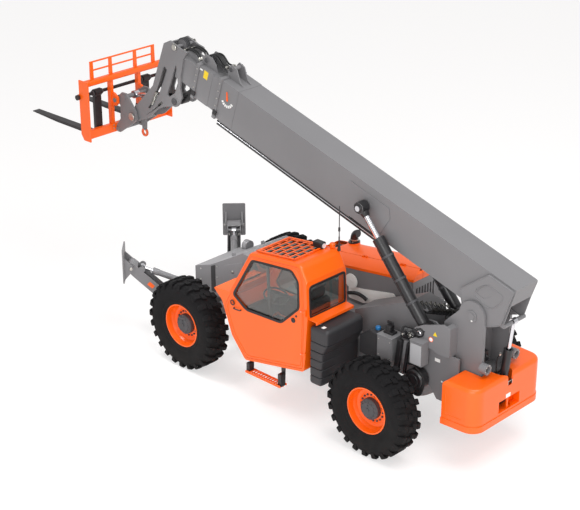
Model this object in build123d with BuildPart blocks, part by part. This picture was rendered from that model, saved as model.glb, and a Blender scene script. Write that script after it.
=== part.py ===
"""Telehandler with a three-section boom, fork carriage, cab, engine pod and two outriggers.

Units are millimetres, +X is forward, +Y is the machine's left and +Z is up.  Side views are
drawn from the middle of the wheelbase, which stands X_MID from the origin: the origin lies on
the ground under the middle of the whole machine, forks and boom tail included.
"""
from build123d import *
import os
from math import atan2, cos, degrees, hypot, radians, sin

os.makedirs("parts", exist_ok=True)

# ------------------------------------------------------------------ driving dimensions
WHEELBASE = 3536
TYRE_R = 675
TYRE_W = 375
OVERALL_W = 2564
WHEEL_Y = OVERALL_W / 2 - TYRE_W / 2
KINGPIN_Y = 900

FORK_LENGTH = 1524
FORK_W, FORK_T = 125, 50
FORK_Y = 478
FORK_TOP, FORK_FACE_X = 2785, 4385
TAIL_X, TAIL_Z = -3279, 2542            # top rear corner of the boom
X_MID = -(FORK_FACE_X + FORK_LENGTH + TAIL_X) / 2

BOOM_DEG = 16.82
BOOM_L = 5430
OUTER_H, OUTER_HALF = 604, 221
SHEET = 12                              # boom walls and other heavy plate
GAUGE = 6                               # cab and hood panels

# pins in side view (x, z)
PIVOT = (-2680, 2020)                   # boom pivot
LIFT_BASE, LIFT_EYE = (-2000, 1610), (-840, 2995)
LEVEL_BASE, LEVEL_EYE = (-2970, 820), (-3115, 1990)
HEAD_PIN = (3845, 3100)
TILT_BASE, TILT_EYE = (2935, 3535), (4020, 3360)
LIFT_Y = 335                            # plane of each lift cylinder

TOWER_IN, TOWER_OUT = 256, 296          # tower plates, inner and outer face
HEAD_IN, HEAD_OUT = 152, 180            # head plates
FRAME_IN, FRAME_OUT = 375, 400          # frame plates
DECK_TOP = 1100
CAB_IN, CAB_OUT = 430, 1200             # cab side walls, outer faces
POD_IN, POD_OUT = 460, 1190             # engine pod side faces
HOOD_SPLIT = 660                        # fixed cowl inside this, lid outside it

# outriggers, in a plane turned 45 degrees outward: (s, z) with s = 0 on the centreline
SPLAY_X = 1970
ARM_ROOT, ARM_FOOT = (745, 430), (1498, 1179)
STAY_BASE, STAY_EYE = (450, 780), (1341, 1149)
ARM_HALF = 105


# ------------------------------------------------------------------ planes and shared operations
def side(y=0.0):
    """Side-view plane at a given y: local x runs forward, local y runs up."""
    return Plane(origin=(X_MID, y, 0), x_dir=(1, 0, 0), z_dir=(0, -1, 0))


def boom_side(y=0.0):
    """Side-view plane along the boom: local x from its tail, local y up from its top face."""
    a = radians(BOOM_DEG)
    return Plane(origin=(X_MID + TAIL_X, y, TAIL_Z), x_dir=(cos(a), 0, sin(a)), z_dir=(0, -1, 0))


def boom_cross(u, v=0.0):
    """Plane across the boom at station u: local x to the left, local y up from height v."""
    flat = boom_side()
    return Plane(origin=flat.from_local_coords(Vector(u, v, 0)), x_dir=(0, 1, 0),
                 z_dir=flat.x_dir)


def splay(offset=0.0):
    """Upright plane of the left outrigger: local x runs out at 45 degrees, local y runs up."""
    r = sin(radians(45))
    return Plane(origin=(X_MID + SPLAY_X - offset * r, offset * r, 0), x_dir=(r, r, 0),
                 z_dir=(r, -r, 0))


def splay_right(offset=0.0):
    """The same for the right outrigger."""
    r = sin(radians(45))
    return Plane(origin=(X_MID + SPLAY_X + offset * r, offset * r, 0), x_dir=(r, -r, 0),
                 z_dir=(-r, -r, 0))


def slab(outline, near, far, where=side, corner=0.0, mode=Mode.ADD):
    """Plate with the given outline between two offsets of a plane, its corners rounded."""
    with BuildSketch(where(far)) as face:
        with BuildLine():
            Polyline(*outline, close=True)
        make_face()
        if corner:
            fillet(face.vertices(), corner)
    extrude(face.sketch, amount=far - near, mode=mode)


def slabs(outline, near, far, where=side, corner=0.0, mode=Mode.ADD):
    """The same plate on both sides of the plane's middle."""
    slab(outline, near, far, where, corner, mode)
    slab(outline, -far, -near, where, corner, mode)


def disc(centre, radius, near, far, where=side, mode=Mode.ADD):
    """Round boss, pin or hole across a plane, between two offsets."""
    with BuildSketch(where(far)) as face:
        with Locations(centre):
            Circle(radius)
    extrude(face.sketch, amount=far - near, mode=mode)


def discs(centre, radius, near, far, where=side, mode=Mode.ADD):
    """The same on both sides of the plane's middle."""
    disc(centre, radius, near, far, where, mode)
    disc(centre, radius, -far, -near, where, mode)


def span(a, b):
    """Distance between two pins."""
    return hypot(b[0] - a[0], b[1] - a[1])


def save(part, label):
    """Name a finished piece and write its STEP file."""
    part.label = label
    export_step(part, f"parts/{label}.step")


# ------------------------------------------------------------------ tyres and rims
LUGS = 20                               # in each of the two rows
LUG_HALF = 56                           # half of a lug's length round the tyre
CROWN_R = 645
LUG_TOP = (TYRE_R ** 2 - LUG_HALF ** 2) ** 0.5
LUG_FOOT = [(150, -LUG_HALF), (150, 2), (14, LUG_HALF), (14, LUG_HALF - 58)]

with BuildPart() as tyre_blank:
    with BuildSketch(Plane.XY):
        with BuildLine():
            Polyline((328, -139), (306, -137), (306, 137), (328, 139), (385, 172),
                     (440, TYRE_W / 2), (520, TYRE_W / 2), (575, 178), (626, 150),
                     (CROWN_R, 100), (CROWN_R, -100), (626, -150), (575, -178),
                     (520, -TYRE_W / 2), (440, -TYRE_W / 2), (385, -172), close=True)
        make_face()
    revolve(axis=Axis.Y)
    first = 90 + degrees(atan2(LUG_HALF, LUG_TOP))
    for row, turn in ((1, 0), (-1, 180 / LUGS)):
        for i in range(LUGS):
            angle = radians(first + turn + 360 * i / LUGS)
            outward = Vector(cos(angle), 0, -sin(angle))
            with BuildSketch(Plane(origin=outward * 600, x_dir=(0, 1, 0), z_dir=outward)):
                with BuildLine():
                    Polyline(*[(w * row, t) for w, t in LUG_FOOT], close=True)
                make_face()
            extrude(amount=LUG_TOP - 600)

RIM_OUT, RIM_BARREL, HUB_R = 325, 305.7, 146
with BuildPart() as rim_blank:
    with BuildSketch(Plane.XY):
        with BuildLine():
            Polyline(
                (RIM_OUT, 149), (RIM_OUT, 142), (RIM_BARREL, 137.5), (RIM_BARREL, -137.5),
                (RIM_OUT, -142), (RIM_OUT, -149), (290, -145), (290, -20), (225, -22),
                (150, -22), (150, 4), (0, 14), (0, 106), (120, 106), (HUB_R, 84), (HUB_R, 22),
                (225, 10), (262, 24), (290, 72), (308, 149), close=True)
        make_face()
    revolve(axis=Axis.Y)

CORNERS = [("fl", 1, 1), ("fr", 1, -1), ("rl", -1, 1), ("rr", -1, -1)]
for corner, fore, left in CORNERS:
    spot = Location((X_MID + fore * WHEELBASE / 2, left * WHEEL_Y, TYRE_R),
                    (0, 0, 0 if left > 0 else 180))
    with BuildPart() as tyre:
        add(tyre_blank.part.moved(spot))
    save(tyre.part, f"tyre_{corner}")
    with BuildPart() as rim:
        add(rim_blank.part.moved(spot))
    save(rim.part, f"rim_{corner}")

# ------------------------------------------------------------------ axles and knuckles
YOKE_GAP = 112                          # half height between the yoke's ears
with BuildPart() as knuckle_blank:      # front left, at its kingpin
    Cylinder(62, 2 * YOKE_GAP - 12)
    # spindle in steps: start, end, radius
    for start, end, radius in ((30, 100, 85), (100, 131, 140), (131, 200, 60)):
        with BuildSketch(Plane.XZ.offset(-start)):
            Circle(radius)
        extrude(amount=start - end)
    # steering arm
    with BuildSketch(Plane.XY):
        with BuildLine():
            Polyline((-30, 55), (-120, 60), (-200, -30), (-172, -62), (-110, -5), (-30, -20),
                     close=True)
        make_face()
    extrude(amount=20, both=True)

for corner, fore, left in CORNERS:
    shape = knuckle_blank.part
    if left < 0:
        shape = shape.mirror(Plane.XZ)
    if fore < 0:
        shape = shape.mirror(Plane.YZ)
    with BuildPart() as knuckle:
        add(shape.moved(Location((X_MID + fore * WHEELBASE / 2, left * KINGPIN_Y, TYRE_R))))
    save(knuckle.part, f"knuckle_{corner}")

for name, fore in (("front", 1), ("rear", -1)):
    axle_x = X_MID + fore * WHEELBASE / 2
    with BuildPart() as axle:
        with BuildSketch(Plane(origin=(axle_x, 0, TYRE_R), x_dir=(0, 1, 0), z_dir=(1, 0, 0))):
            with BuildLine():
                Polyline((-790, 0), (-790, 80), (-330, 95))
                Spline((-330, 95), (-215, 180), (0, 215), (215, 180), (330, 95))
                Polyline((330, 95), (790, 80), (790, 0), (-790, 0))
            make_face()
        revolve(axis=Axis((axle_x, 0, TYRE_R), (0, 1, 0)))
        # yokes round the kingpins
        for y_sign in (1, -1):
            for z_sign in (1, -1):
                with BuildSketch(Plane(origin=(axle_x, y_sign * 835, TYRE_R + z_sign * YOKE_GAP))):
                    RectangleRounded(150, 140, 30)
                    with Locations((0, y_sign * 65)):
                        Circle(75)
                extrude(amount=z_sign * 38)
            with Locations((axle_x, y_sign * 790, TYRE_R)):
                Box(140, 50, 2 * YOKE_GAP + 60)
            # pads under the frame
            with Locations((axle_x, y_sign * 300, TYRE_R + 165)):
                Box(220, 120, 190)
        # steering cylinder on the side towards the middle of the machine
        steer_x = axle_x - fore * 185
        with BuildSketch(Plane(origin=(steer_x, -600, TYRE_R), x_dir=(1, 0, 0), z_dir=(0, 1, 0))):
            Circle(20)
        extrude(amount=1200)
        with BuildSketch(Plane(origin=(steer_x, -330, TYRE_R), x_dir=(1, 0, 0), z_dir=(0, 1, 0))):
            Circle(42)
        extrude(amount=660)
        for y in (-290, 290):
            with Locations((axle_x - fore * 100, y, TYRE_R)):
                Box(190, 36, 70)
    save(axle.part, f"axle_{name}")

# ------------------------------------------------------------------ main frame
FRAME_SIDE = [(-2590, 700), (-2250, 700), (-2140, 850), (-1390, 850), (-1300, 560), (-1200, 500),
              (1000, 470), (1150, 540), (1380, 880), (2048, 880), (2048, DECK_TOP),
              (-1850, DECK_TOP), (-2060, 1400), (-2590, 1400)]
with BuildPart() as frame:
    slabs(FRAME_SIDE, FRAME_IN, FRAME_OUT)
    # plates between the sides: x, z, length, height
    for x, z, length, height in ((-100, 800, 2400, 20), (-600, DECK_TOP - 10, 3280, 20),
                                 (-1340, 950, 30, 260), (-2300, 860, 560, 20),
                                 (1365, 990, 30, 220), (-1768, 945, 300, 20),
                                 (1768, 945, 540, 20)):
        with Locations((X_MID + x, 0, z)):
            Box(length, 2 * FRAME_IN, height)
    # valve and battery boxes over the left rear wheel: centre, then size
    for x, y, z, length, width, height in ((-1510, 480, 1260, 250, 240, 320),
                                           (-2040, 533, 1365, 200, 134, 330),
                                           (-2040, 433, 1300, 120, 66, 140)):
        with Locations((X_MID + x, y, z)):
            Box(length, width, height)
    # filter standing between the boxes, on the frame's edge
    with Locations((X_MID - 1780, 470, 1270)):
        Cylinder(62, 340)
    with Locations((X_MID - 1780, 430, 1135)):
        Box(60, 90, 150)
save(frame.part, "frame")

# ------------------------------------------------------------------ front housing
HOUSE_HALF, PLATE = 450, 20
HOUSE_SIDE = [(1150, 850), (1150, 1700), (1300, 1700), (1680, 1480), (1970, 1320), (2300, 1200),
              (2300, 500), (2180, 500), (2050, 850)]
HOUSE_VOID = [(1140, 800), (1140, DECK_TOP + 10), (1170, DECK_TOP + 10), (1170, 1680),
              (1294, 1680), (1670, 1460), (1964, 1300), (2310, 1176), (2310, 400), (1140, 400)]
CLEVIS_IN, CLEVIS_OUT = ARM_HALF + 8, ARM_HALF + 28
CLEVIS = [(130, 280), (840, 340), (850, 490), (700, 560), (560, 850), (400, 880), (130, 880)]
with BuildPart() as house:
    slab(HOUSE_SIDE, -HOUSE_HALF, HOUSE_HALF)
    slab(HOUSE_VOID, PLATE - HOUSE_HALF, HOUSE_HALF - PLATE, mode=Mode.SUBTRACT)
    with Locations((X_MID + 2060, 0, 830)):
        Box(24, 2 * (HOUSE_HALF - PLATE), 620)
    # clevis plates of each outrigger, with the root pin and the stay's pin
    for where in (splay, splay_right):
        slabs(CLEVIS, CLEVIS_IN, CLEVIS_OUT, where)
        disc(ARM_ROOT, 30, -CLEVIS_OUT, CLEVIS_OUT, where)
        disc(STAY_BASE, 30, -CLEVIS_OUT, CLEVIS_OUT, where)
    # lamp on the right shoulder
    with BuildSketch(Plane(origin=(X_MID + 1990, -380, 1340), z_dir=(1, 0, 0))):
        Circle(85)
    extrude(amount=90)
save(house.part, "front_housing")

# ------------------------------------------------------------------ boom tower
PIN_R = 40
TOWER_SIDE = [(-2880, 870), (-2880, PIVOT[1]), (-2480, PIVOT[1] + 20), (-2250, 1800),
              (-2250, 870)]
BRACKET = [(-2480, 1820), (-2360, 1840), (-2030, 1725), (-1900, 1650), (-1890, 1560),
           (-2010, 1470), (-2300, 1400), (-2480, 1400)]
WEB = [(-2470, 1400), (-2470, 1800), (-2380, 1810), (-2300, 1500), (-2250, 1400)]
INNER_EAR = [(-2240, DECK_TOP), (-2240, 1560), (-2060, 1700), (-1930, 1690), (-1890, 1560),
             (-1890, DECK_TOP)]
LEVEL_EAR = [(-2880, 770), (-2880, 960), (-2990, 870), (-3010, 820), (-2990, 770)]
COVER = [(-1885, DECK_TOP), (-1885, 1780), (-1600, 1830), (-640, 1390), (-640, DECK_TOP)]
COVER_VOID = [(-1873, 1090), (-1873, 1770), (-1602, 1817), (-652, 1382), (-652, 1090)]
with BuildPart() as tower:
    slabs(TOWER_SIDE, TOWER_IN, TOWER_OUT)
    discs(PIVOT, 200, TOWER_IN, TOWER_OUT)
    slabs(WEB, TOWER_OUT, 440)
    slabs(BRACKET, 440, 464, corner=30)
    slabs(INNER_EAR, 208, 236, corner=24)
    # webs between the plates: x, z, length, height
    for x, z, length, height in ((-2560, 1150, 580, 24), (-2262, 1400, 24, 520),
                                 (-2600, 1450, 24, 600), (-2868, 940, 24, 340)):
        with Locations((X_MID + x, 0, z)):
            Box(length, 2 * TOWER_IN + 10, height)
    slabs(LEVEL_EAR, 58, 78)
    # pins: levelling cylinder, boom pivot and lift cylinders
    disc(LEVEL_BASE, 30, -78, 78)
    disc(PIVOT, 50, -TOWER_OUT - 24, TOWER_OUT + 24)
    discs(PIVOT, 78, TOWER_OUT, TOWER_OUT + 14)
    discs(LIFT_BASE, PIN_R, 210, 480)
    for y_sign in (1, -1):
        # tube stub above the counterweight
        with BuildSketch(Plane(origin=(X_MID - 2880, y_sign * 300, 1360), z_dir=(-1, 0, 0))):
            Circle(72)
            Circle(44, mode=Mode.SUBTRACT)
        extrude(amount=100)
    # sloping cover ahead of the tower, under the boom
    slab(COVER, -200, 200)
    slab(COVER_VOID, -188, 188, mode=Mode.SUBTRACT)
save(tower.part, "tower")

# ------------------------------------------------------------------ counterweight
CW_TOP, CW_BOTTOM, CW_BAND = 1240, 620, 90
with BuildPart() as weight:
    with BuildSketch(Plane.XY.offset(CW_BOTTOM)) as footprint:
        with BuildLine():
            Polyline((X_MID - 2590, 745), (X_MID - 3130, 715), (X_MID - 3130, -715),
                     (X_MID - 2590, -745), close=True)
        make_face()
        fillet(footprint.vertices().group_by(Axis.X)[0], 190)
    extrude(amount=CW_BAND)
    with BuildSketch(Plane.XY.offset(CW_BOTTOM + CW_BAND)):
        add(footprint.sketch_local)
        offset(amount=-8, mode=Mode.REPLACE)
    extrude(amount=CW_TOP - CW_BOTTOM - CW_BAND)
    fillet(weight.faces().sort_by(Axis.Z)[-1].edges(), 55)
    # slot for the tower, recess of the levelling cylinder and notch behind it
    with Locations((X_MID - 2700, 0, 1000)):
        Box(400, 640, 700, mode=Mode.SUBTRACT)
    with BuildSketch(Plane.XY.offset(730)):
        with Locations((X_MID - 2950, 0)):
            SlotOverall(330, 250)
    extrude(amount=600, mode=Mode.SUBTRACT)
    with BuildSketch(Plane.XY.offset(1080)):
        with Locations((X_MID - 3130, 0)):
            Circle(50)
    extrude(amount=200, mode=Mode.SUBTRACT)
    # tow slot with its pin
    with Locations((X_MID - 3110, 0, 828)):
        Box(200, 440, 166, mode=Mode.SUBTRACT)
    with BuildSketch(Plane.XY.offset(CW_BOTTOM + 60)):
        with Locations((X_MID - 3085, 0)):
            Circle(16)
    extrude(amount=250)
save(weight.part, "counterweight")

# ------------------------------------------------------------------ cab
CAB_SIDE = [(-625, 802), (500, 572), (755, 871), (942, 1351), (1098, 1490), (1080, 1506),
            (790, 1526), (373, 2235), (-552, 2350), (-664, 2134), (-684, 1602)]
CAB_INSIDE = [(-600, 1000), (520, 1000), (690, 1080), (830, 1400), (758, 1480), (352, 2185),
              (-530, 2295), (-612, 2125), (-630, 1600)]
DOOR = [(-590, 838), (470, 622), (718, 885), (880, 1300), (775, 1490), (362, 2190),
        (-520, 2300), (-598, 2130), (-615, 1600)]
SIDE_WINDOW = [(719, 1518), (336, 2150), (-400, 2226), (-520, 2100), (-534, 1714),
               (-201, 1391), (467, 1358)]
NEAR_WINDOW = [(640, 1470), (330, 2080), (-450, 2180), (-560, 2080), (-560, 1500), (-480, 1400),
               (560, 1380)]
DOOR_T = 35
DOOR_PIN = (-655, 1215)
ROOF_TURN = 97.1                        # the roof's fall to the front, as a turn of a pane
# windscreen, rear window and roof light: centre, turn about Y, width, height
PANES = [(548, 815, 1872, -29.5, 640, 600), (-656, 800, 1828, 2.1, 690, 450),
         (-10, 790, 2262, ROOF_TURN, 590, 660)]


def pane(x, y, z, turn, wide, tall, thick, mode=Mode.ADD):
    """Rounded upright pane, turned about Y; also the opening for it."""
    with BuildSketch(Plane(Location((X_MID + x, y, z), (0, turn + 90, 0)))) as face:
        RectangleRounded(tall, wide, 45)
    extrude(face.sketch, amount=thick / 2, both=True, mode=mode)


with BuildPart() as cab:
    with BuildSketch(side(CAB_OUT)) as profile:
        with BuildLine():
            Polyline(*CAB_SIDE, close=True)
        make_face()
        fillet(profile.vertices().sort_by(Axis.Y)[-1], 110)
        fillet(profile.vertices().sort_by(Axis.Y)[:2], 60)
    extrude(amount=CAB_OUT - CAB_IN)
    roof_sides = cab.edges().filter_by(lambda e: e.center().Z > 2270 and e.length > 500
                                       and abs(e.tangent_at(0.5).Y) < 0.1)
    fillet(roof_sides, 36)
    slab(CAB_INSIDE, CAB_IN + 30, CAB_OUT - 50, mode=Mode.SUBTRACT)
    # doorway, its step for the door and the opening within it
    with BuildSketch(side(CAB_OUT)) as doorway:
        with BuildLine():
            Polyline(*DOOR, close=True)
        make_face()
        fillet(doorway.vertices(), 44)
        offset(amount=6, mode=Mode.REPLACE)
    extrude(amount=DOOR_T + 6, mode=Mode.SUBTRACT)
    with BuildSketch(side(CAB_OUT)):
        with BuildLine():
            Polyline(*CAB_INSIDE, close=True)
        make_face()
        offset(amount=-28, mode=Mode.REPLACE)
    extrude(amount=80, mode=Mode.SUBTRACT)
    slab(NEAR_WINDOW, CAB_IN - 20, CAB_IN + 60, corner=40, mode=Mode.SUBTRACT)
    for row in PANES:
        pane(*row, 220, Mode.SUBTRACT)
    # hinge barrels behind the door
    for z in (1010, 1640):
        for low in (z, z + 62):
            with Locations((X_MID + DOOR_PIN[0], DOOR_PIN[1], low + 15)):
                Cylinder(14, 28)
        with Locations((X_MID + DOOR_PIN[0], DOOR_PIN[1], z + 46)):
            Cylinder(6, 62)
save(cab.part, "cab_shell")

# roof guard: six staggered rows of openings
with BuildPart() as roof_guard:
    with Locations(Location((X_MID - 10, 790, 2299), (0, ROOF_TURN - 90, 0))):
        Box(724, 640, 12)
        for row in range(6):
            shift = 36 if row % 2 else -36
            with Locations(*[(row * 116 - 290, shift + y, 0) for y in (-216, -72, 72, 216)]):
                Box(96, 112, 40, mode=Mode.SUBTRACT)
save(roof_guard.part, "roof_guard")

with BuildPart() as door:
    with BuildSketch(side(CAB_OUT)) as leaf:
        with BuildLine():
            Polyline(*DOOR, close=True)
        make_face()
        fillet(leaf.vertices(), 44)
    extrude(amount=DOOR_T)
    slab(SIDE_WINDOW, CAB_OUT - 60, CAB_OUT + 10, corner=36, mode=Mode.SUBTRACT)
    # hinge leaves with their barrels
    for z in (1010, 1640):
        with BuildSketch(Plane.XY.offset(z + 31)):
            with Locations((X_MID + DOOR_PIN[0], DOOR_PIN[1])):
                Circle(14)
            with Locations((X_MID - 603, CAB_OUT + 5)):
                Rectangle(96, 6)
            with Locations((X_MID + DOOR_PIN[0], DOOR_PIN[1])):
                Circle(7, mode=Mode.SUBTRACT)
        extrude(amount=30)
save(door.part, "cab_door")

with BuildPart() as door_glass:
    slab(SIDE_WINDOW, CAB_OUT - 20, CAB_OUT - 14, corner=36)
save(door_glass.part, "door_glass")

with BuildPart() as cab_glass:
    for row in PANES:
        pane(*row, 6)
    slab(NEAR_WINDOW, CAB_IN + 10, CAB_IN + 16, corner=40)
save(cab_glass.part, "cab_glass")

CUSHION = [(-545, 1120), (-120, 1120), (-90, 1290), (-130, 1350), (-545, 1330)]
BACKREST = [(-545, 1332), (-442, 1336), (-520, 1980), (-590, 1970), (-580, 1500)]
with BuildPart() as inside:
    with Locations((X_MID - 330, 820, 1060)):
        Box(300, 320, 120)
    slab(CUSHION, 600, 1050, corner=28)
    slab(BACKREST, 600, 1050, corner=28)
    # side console
    with Locations((X_MID - 100, 535, 1210)):
        Box(700, 110, 420)
    # steering column and wheel
    with Locations((X_MID + 440, 820, 1050)):
        Box(130, 150, 100)
    with BuildSketch(Plane(origin=(X_MID + 430, 820, 1050), z_dir=(-0.35, 0, 0.94))):
        Circle(45)
    extrude(amount=470)
    with BuildSketch(Plane(origin=(X_MID + 262, 820, 1490), z_dir=(-0.35, 0, 0.94))):
        Circle(190)
        Circle(162, mode=Mode.SUBTRACT)
        Rectangle(336, 30)
    extrude(amount=25)
save(inside.part, "cab_interior")

with BuildPart() as steps:
    # shelf above the tank, its rear lip turned down
    slab([(-690, 1612), (-690, 1600), (-816, 1588), (-816, 1556), (-828, 1556), (-828, 1599)],
         440, 1180)
    # brackets of the step below the door, then its tread
    slab([(-280, 410), (-220, 410), (-220, 712), (-280, 724)], 1085, 1110)
    slab([(390, 410), (450, 410), (450, 578), (390, 590)], 1085, 1110)
    with Locations((X_MID + 100, 1170, 425)):
        Box(800, 130, 30)
        with Locations(*[(x, 20, 0) for x in range(-340, 341, 68)]):
            Box(40, 44, 60, mode=Mode.SUBTRACT)
save(steps.part, "cab_steps")

TANK_SIDE = [(-704, 660), (-925, 660), (-950, 1150), (-1036, 1320), (-1036, 1480), (-975, 1528),
             (-704, 1528)]
with BuildPart() as tank:
    slab(TANK_SIDE, 455, 1190, corner=30)
    fillet(tank.faces().sort_by(Axis.Y)[-1].edges(), 24)
    fillet(tank.faces().sort_by(Axis.Y)[0].edges(), 24)
    # moulded grooves down the outer side and across the back
    for z in (860, 1060):
        with Locations((X_MID - 940, 820, z)):
            Box(30, 640, 26, mode=Mode.SUBTRACT)
        with Locations((X_MID - 815, 1190, z)):
            Box(170, 20, 26, mode=Mode.SUBTRACT)
    with Locations((X_MID - 800, 1080, 1538)):
        Cylinder(40, 24)
save(tank.part, "tank")

# ------------------------------------------------------------------ engine pod
POD_TOP = [(930, 1443), (-1110, 1711)]  # seam under the hood, front and rear
POD_SIDE = [(-890, 700), (870, 700), (930, 1000), (930, 1443), (-1110, 1711), (-1110, 1250)]
POD_VOID = [(-870, 720), (855, 720), (910, 1005), (910, 1500), (-1090, 1760), (-1090, 1256)]
# hood: a low dome above the seam; its ends in side view
HOOD_ENDS = [(930, 1440), (930, 1500), (820, 1560), (480, 1664), (-1030, 1862), (-1110, 1800),
             (-1110, 1708)]
HOOD_PIN = (664, 147)                   # lid hinge: distance to the right, height above the seam


def hood_plane(run=0.0):
    """Plane across the hood: local x to the right, local y up from the seam."""
    return Plane(origin=(X_MID + 930, 0, 1446), x_dir=(0, -1, 0),
                 z_dir=(-2040, 0, 268)).offset(run)


def dome(inset, start, end, mode=Mode.ADD):
    """The dome between two distances from its front end, moved in by its wall."""
    low, high = POD_IN + inset, POD_OUT - inset
    with BuildSketch(hood_plane(start)) as face:
        with BuildLine():
            Polyline((low + 2, 36), (low, -40 - inset), (high, -40 - inset), (high, 14))
            Spline((high, 14), (1112 - inset, 95 - inset), (1000, 145 - inset),
                   (850, 152 - inset), (700, 140 - inset), (560, 100 - inset), (low + 2, 36))
        make_face()
    extrude(face.sketch, amount=end - start, mode=mode)


with BuildPart() as pod:
    slab(POD_SIDE, -POD_OUT, -POD_IN)
    slab(POD_VOID, GAUGE * 2 - POD_OUT, -POD_IN - GAUGE * 2, mode=Mode.SUBTRACT)
    # cooling holes in the inner wall, slots in the outer wall and in the rear
    for row in range(3):
        for column in range(6):
            disc((-40 + 62 * column + 20 * (row % 2), 1300 + 48 * row), 13,
                 -POD_IN - 30, -POD_IN + 30, mode=Mode.SUBTRACT)
    for x in range(-560, 401, 80):
        slab([(x, 1080), (x + 34, 1080), (x + 34, 1330), (x, 1330)], -POD_OUT - 20,
             -POD_OUT + 40, corner=15, mode=Mode.SUBTRACT)
    for y in range(-900, -539, 60):
        with Locations((X_MID - 1100, y, 1480)):
            Box(60, 30, 240, mode=Mode.SUBTRACT)
save(pod.part, "pod_panels")

with BuildPart() as engine:
    with Locations((X_MID - 50, -825, 1025)):
        Box(1100, 460, 600)
    with Locations((X_MID - 50, -825, 1400)):
        Box(760, 300, 160)
    with Locations((X_MID - 1030, -825, 1390)):
        Box(60, 600, 250)
    with Locations((X_MID - 800, -825, 1390)):
        Box(400, 120, 60)
save(engine.part, "engine")

HINGES = (320, 1000, 1700)              # distances of the lid hinges from the front end
EXHAUST_SEAT = Location((X_MID + 450, -1000, 1673), (0, 7.5, 0))
with BuildPart() as cowl:
    dome(0, -200, 2250)
    slab(HOOD_ENDS, -HOOD_SPLIT, -POD_IN + 10, mode=Mode.INTERSECT)
    slab([(955, 1300), (955, 1442.8), (-1135, 1717.4), (-1135, 1300)], -HOOD_SPLIT - 10,
         -POD_IN + 20, mode=Mode.SUBTRACT)
    dome(GAUGE, 12, 2040, Mode.SUBTRACT)
    for run in HINGES:
        for start in (run - 32, run + 31):
            with BuildSketch(hood_plane(start)):
                with Locations(HOOD_PIN):
                    Circle(11)
                with Locations((651, 138)):
                    Rectangle(14, 24)
            extrude(amount=28)
        with BuildSketch(hood_plane(run - 32)):
            with Locations(HOOD_PIN):
                Circle(5)
        extrude(amount=91)
save(cowl.part, "hood_cowl")

with BuildPart() as hood:
    dome(0, -200, 2250)
    slab(HOOD_ENDS, -POD_OUT - 10, -HOOD_SPLIT - 8, mode=Mode.INTERSECT)
    slab([(955, 1300), (955, 1442.8), (-1135, 1717.4), (-1135, 1300)], -POD_OUT - 20,
         -HOOD_SPLIT, mode=Mode.SUBTRACT)
    dome(GAUGE, 12, 2040, Mode.SUBTRACT)
    with Locations(EXHAUST_SEAT):
        with Locations((0, 0, -15)):
            Cylinder(88, 30)
    for run in HINGES:
        with BuildSketch(hood_plane(run)):
            with Locations(HOOD_PIN):
                Circle(11)
            with Locations((681, 141)):
                Rectangle(26, 12)
            with Locations(HOOD_PIN):
                Circle(6, mode=Mode.SUBTRACT)
        extrude(amount=27)
save(hood.part, "hood")

# exhaust stub on the lid: flange, then the bent pipe
with BuildPart() as exhaust:
    with BuildLine(side(-1000)):
        pipe = Line((450, 1684), (450, 1745))
        JernArc(pipe @ 1, pipe % 1, 90, 80)
    with BuildSketch(Plane(origin=(X_MID + 450, -1000, 1684))):
        Circle(57)
    sweep()
    with Locations(EXHAUST_SEAT):
        with Locations((0, 0, 9.3)):
            Cylinder(88, 18)
save(exhaust.part, "exhaust")

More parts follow.
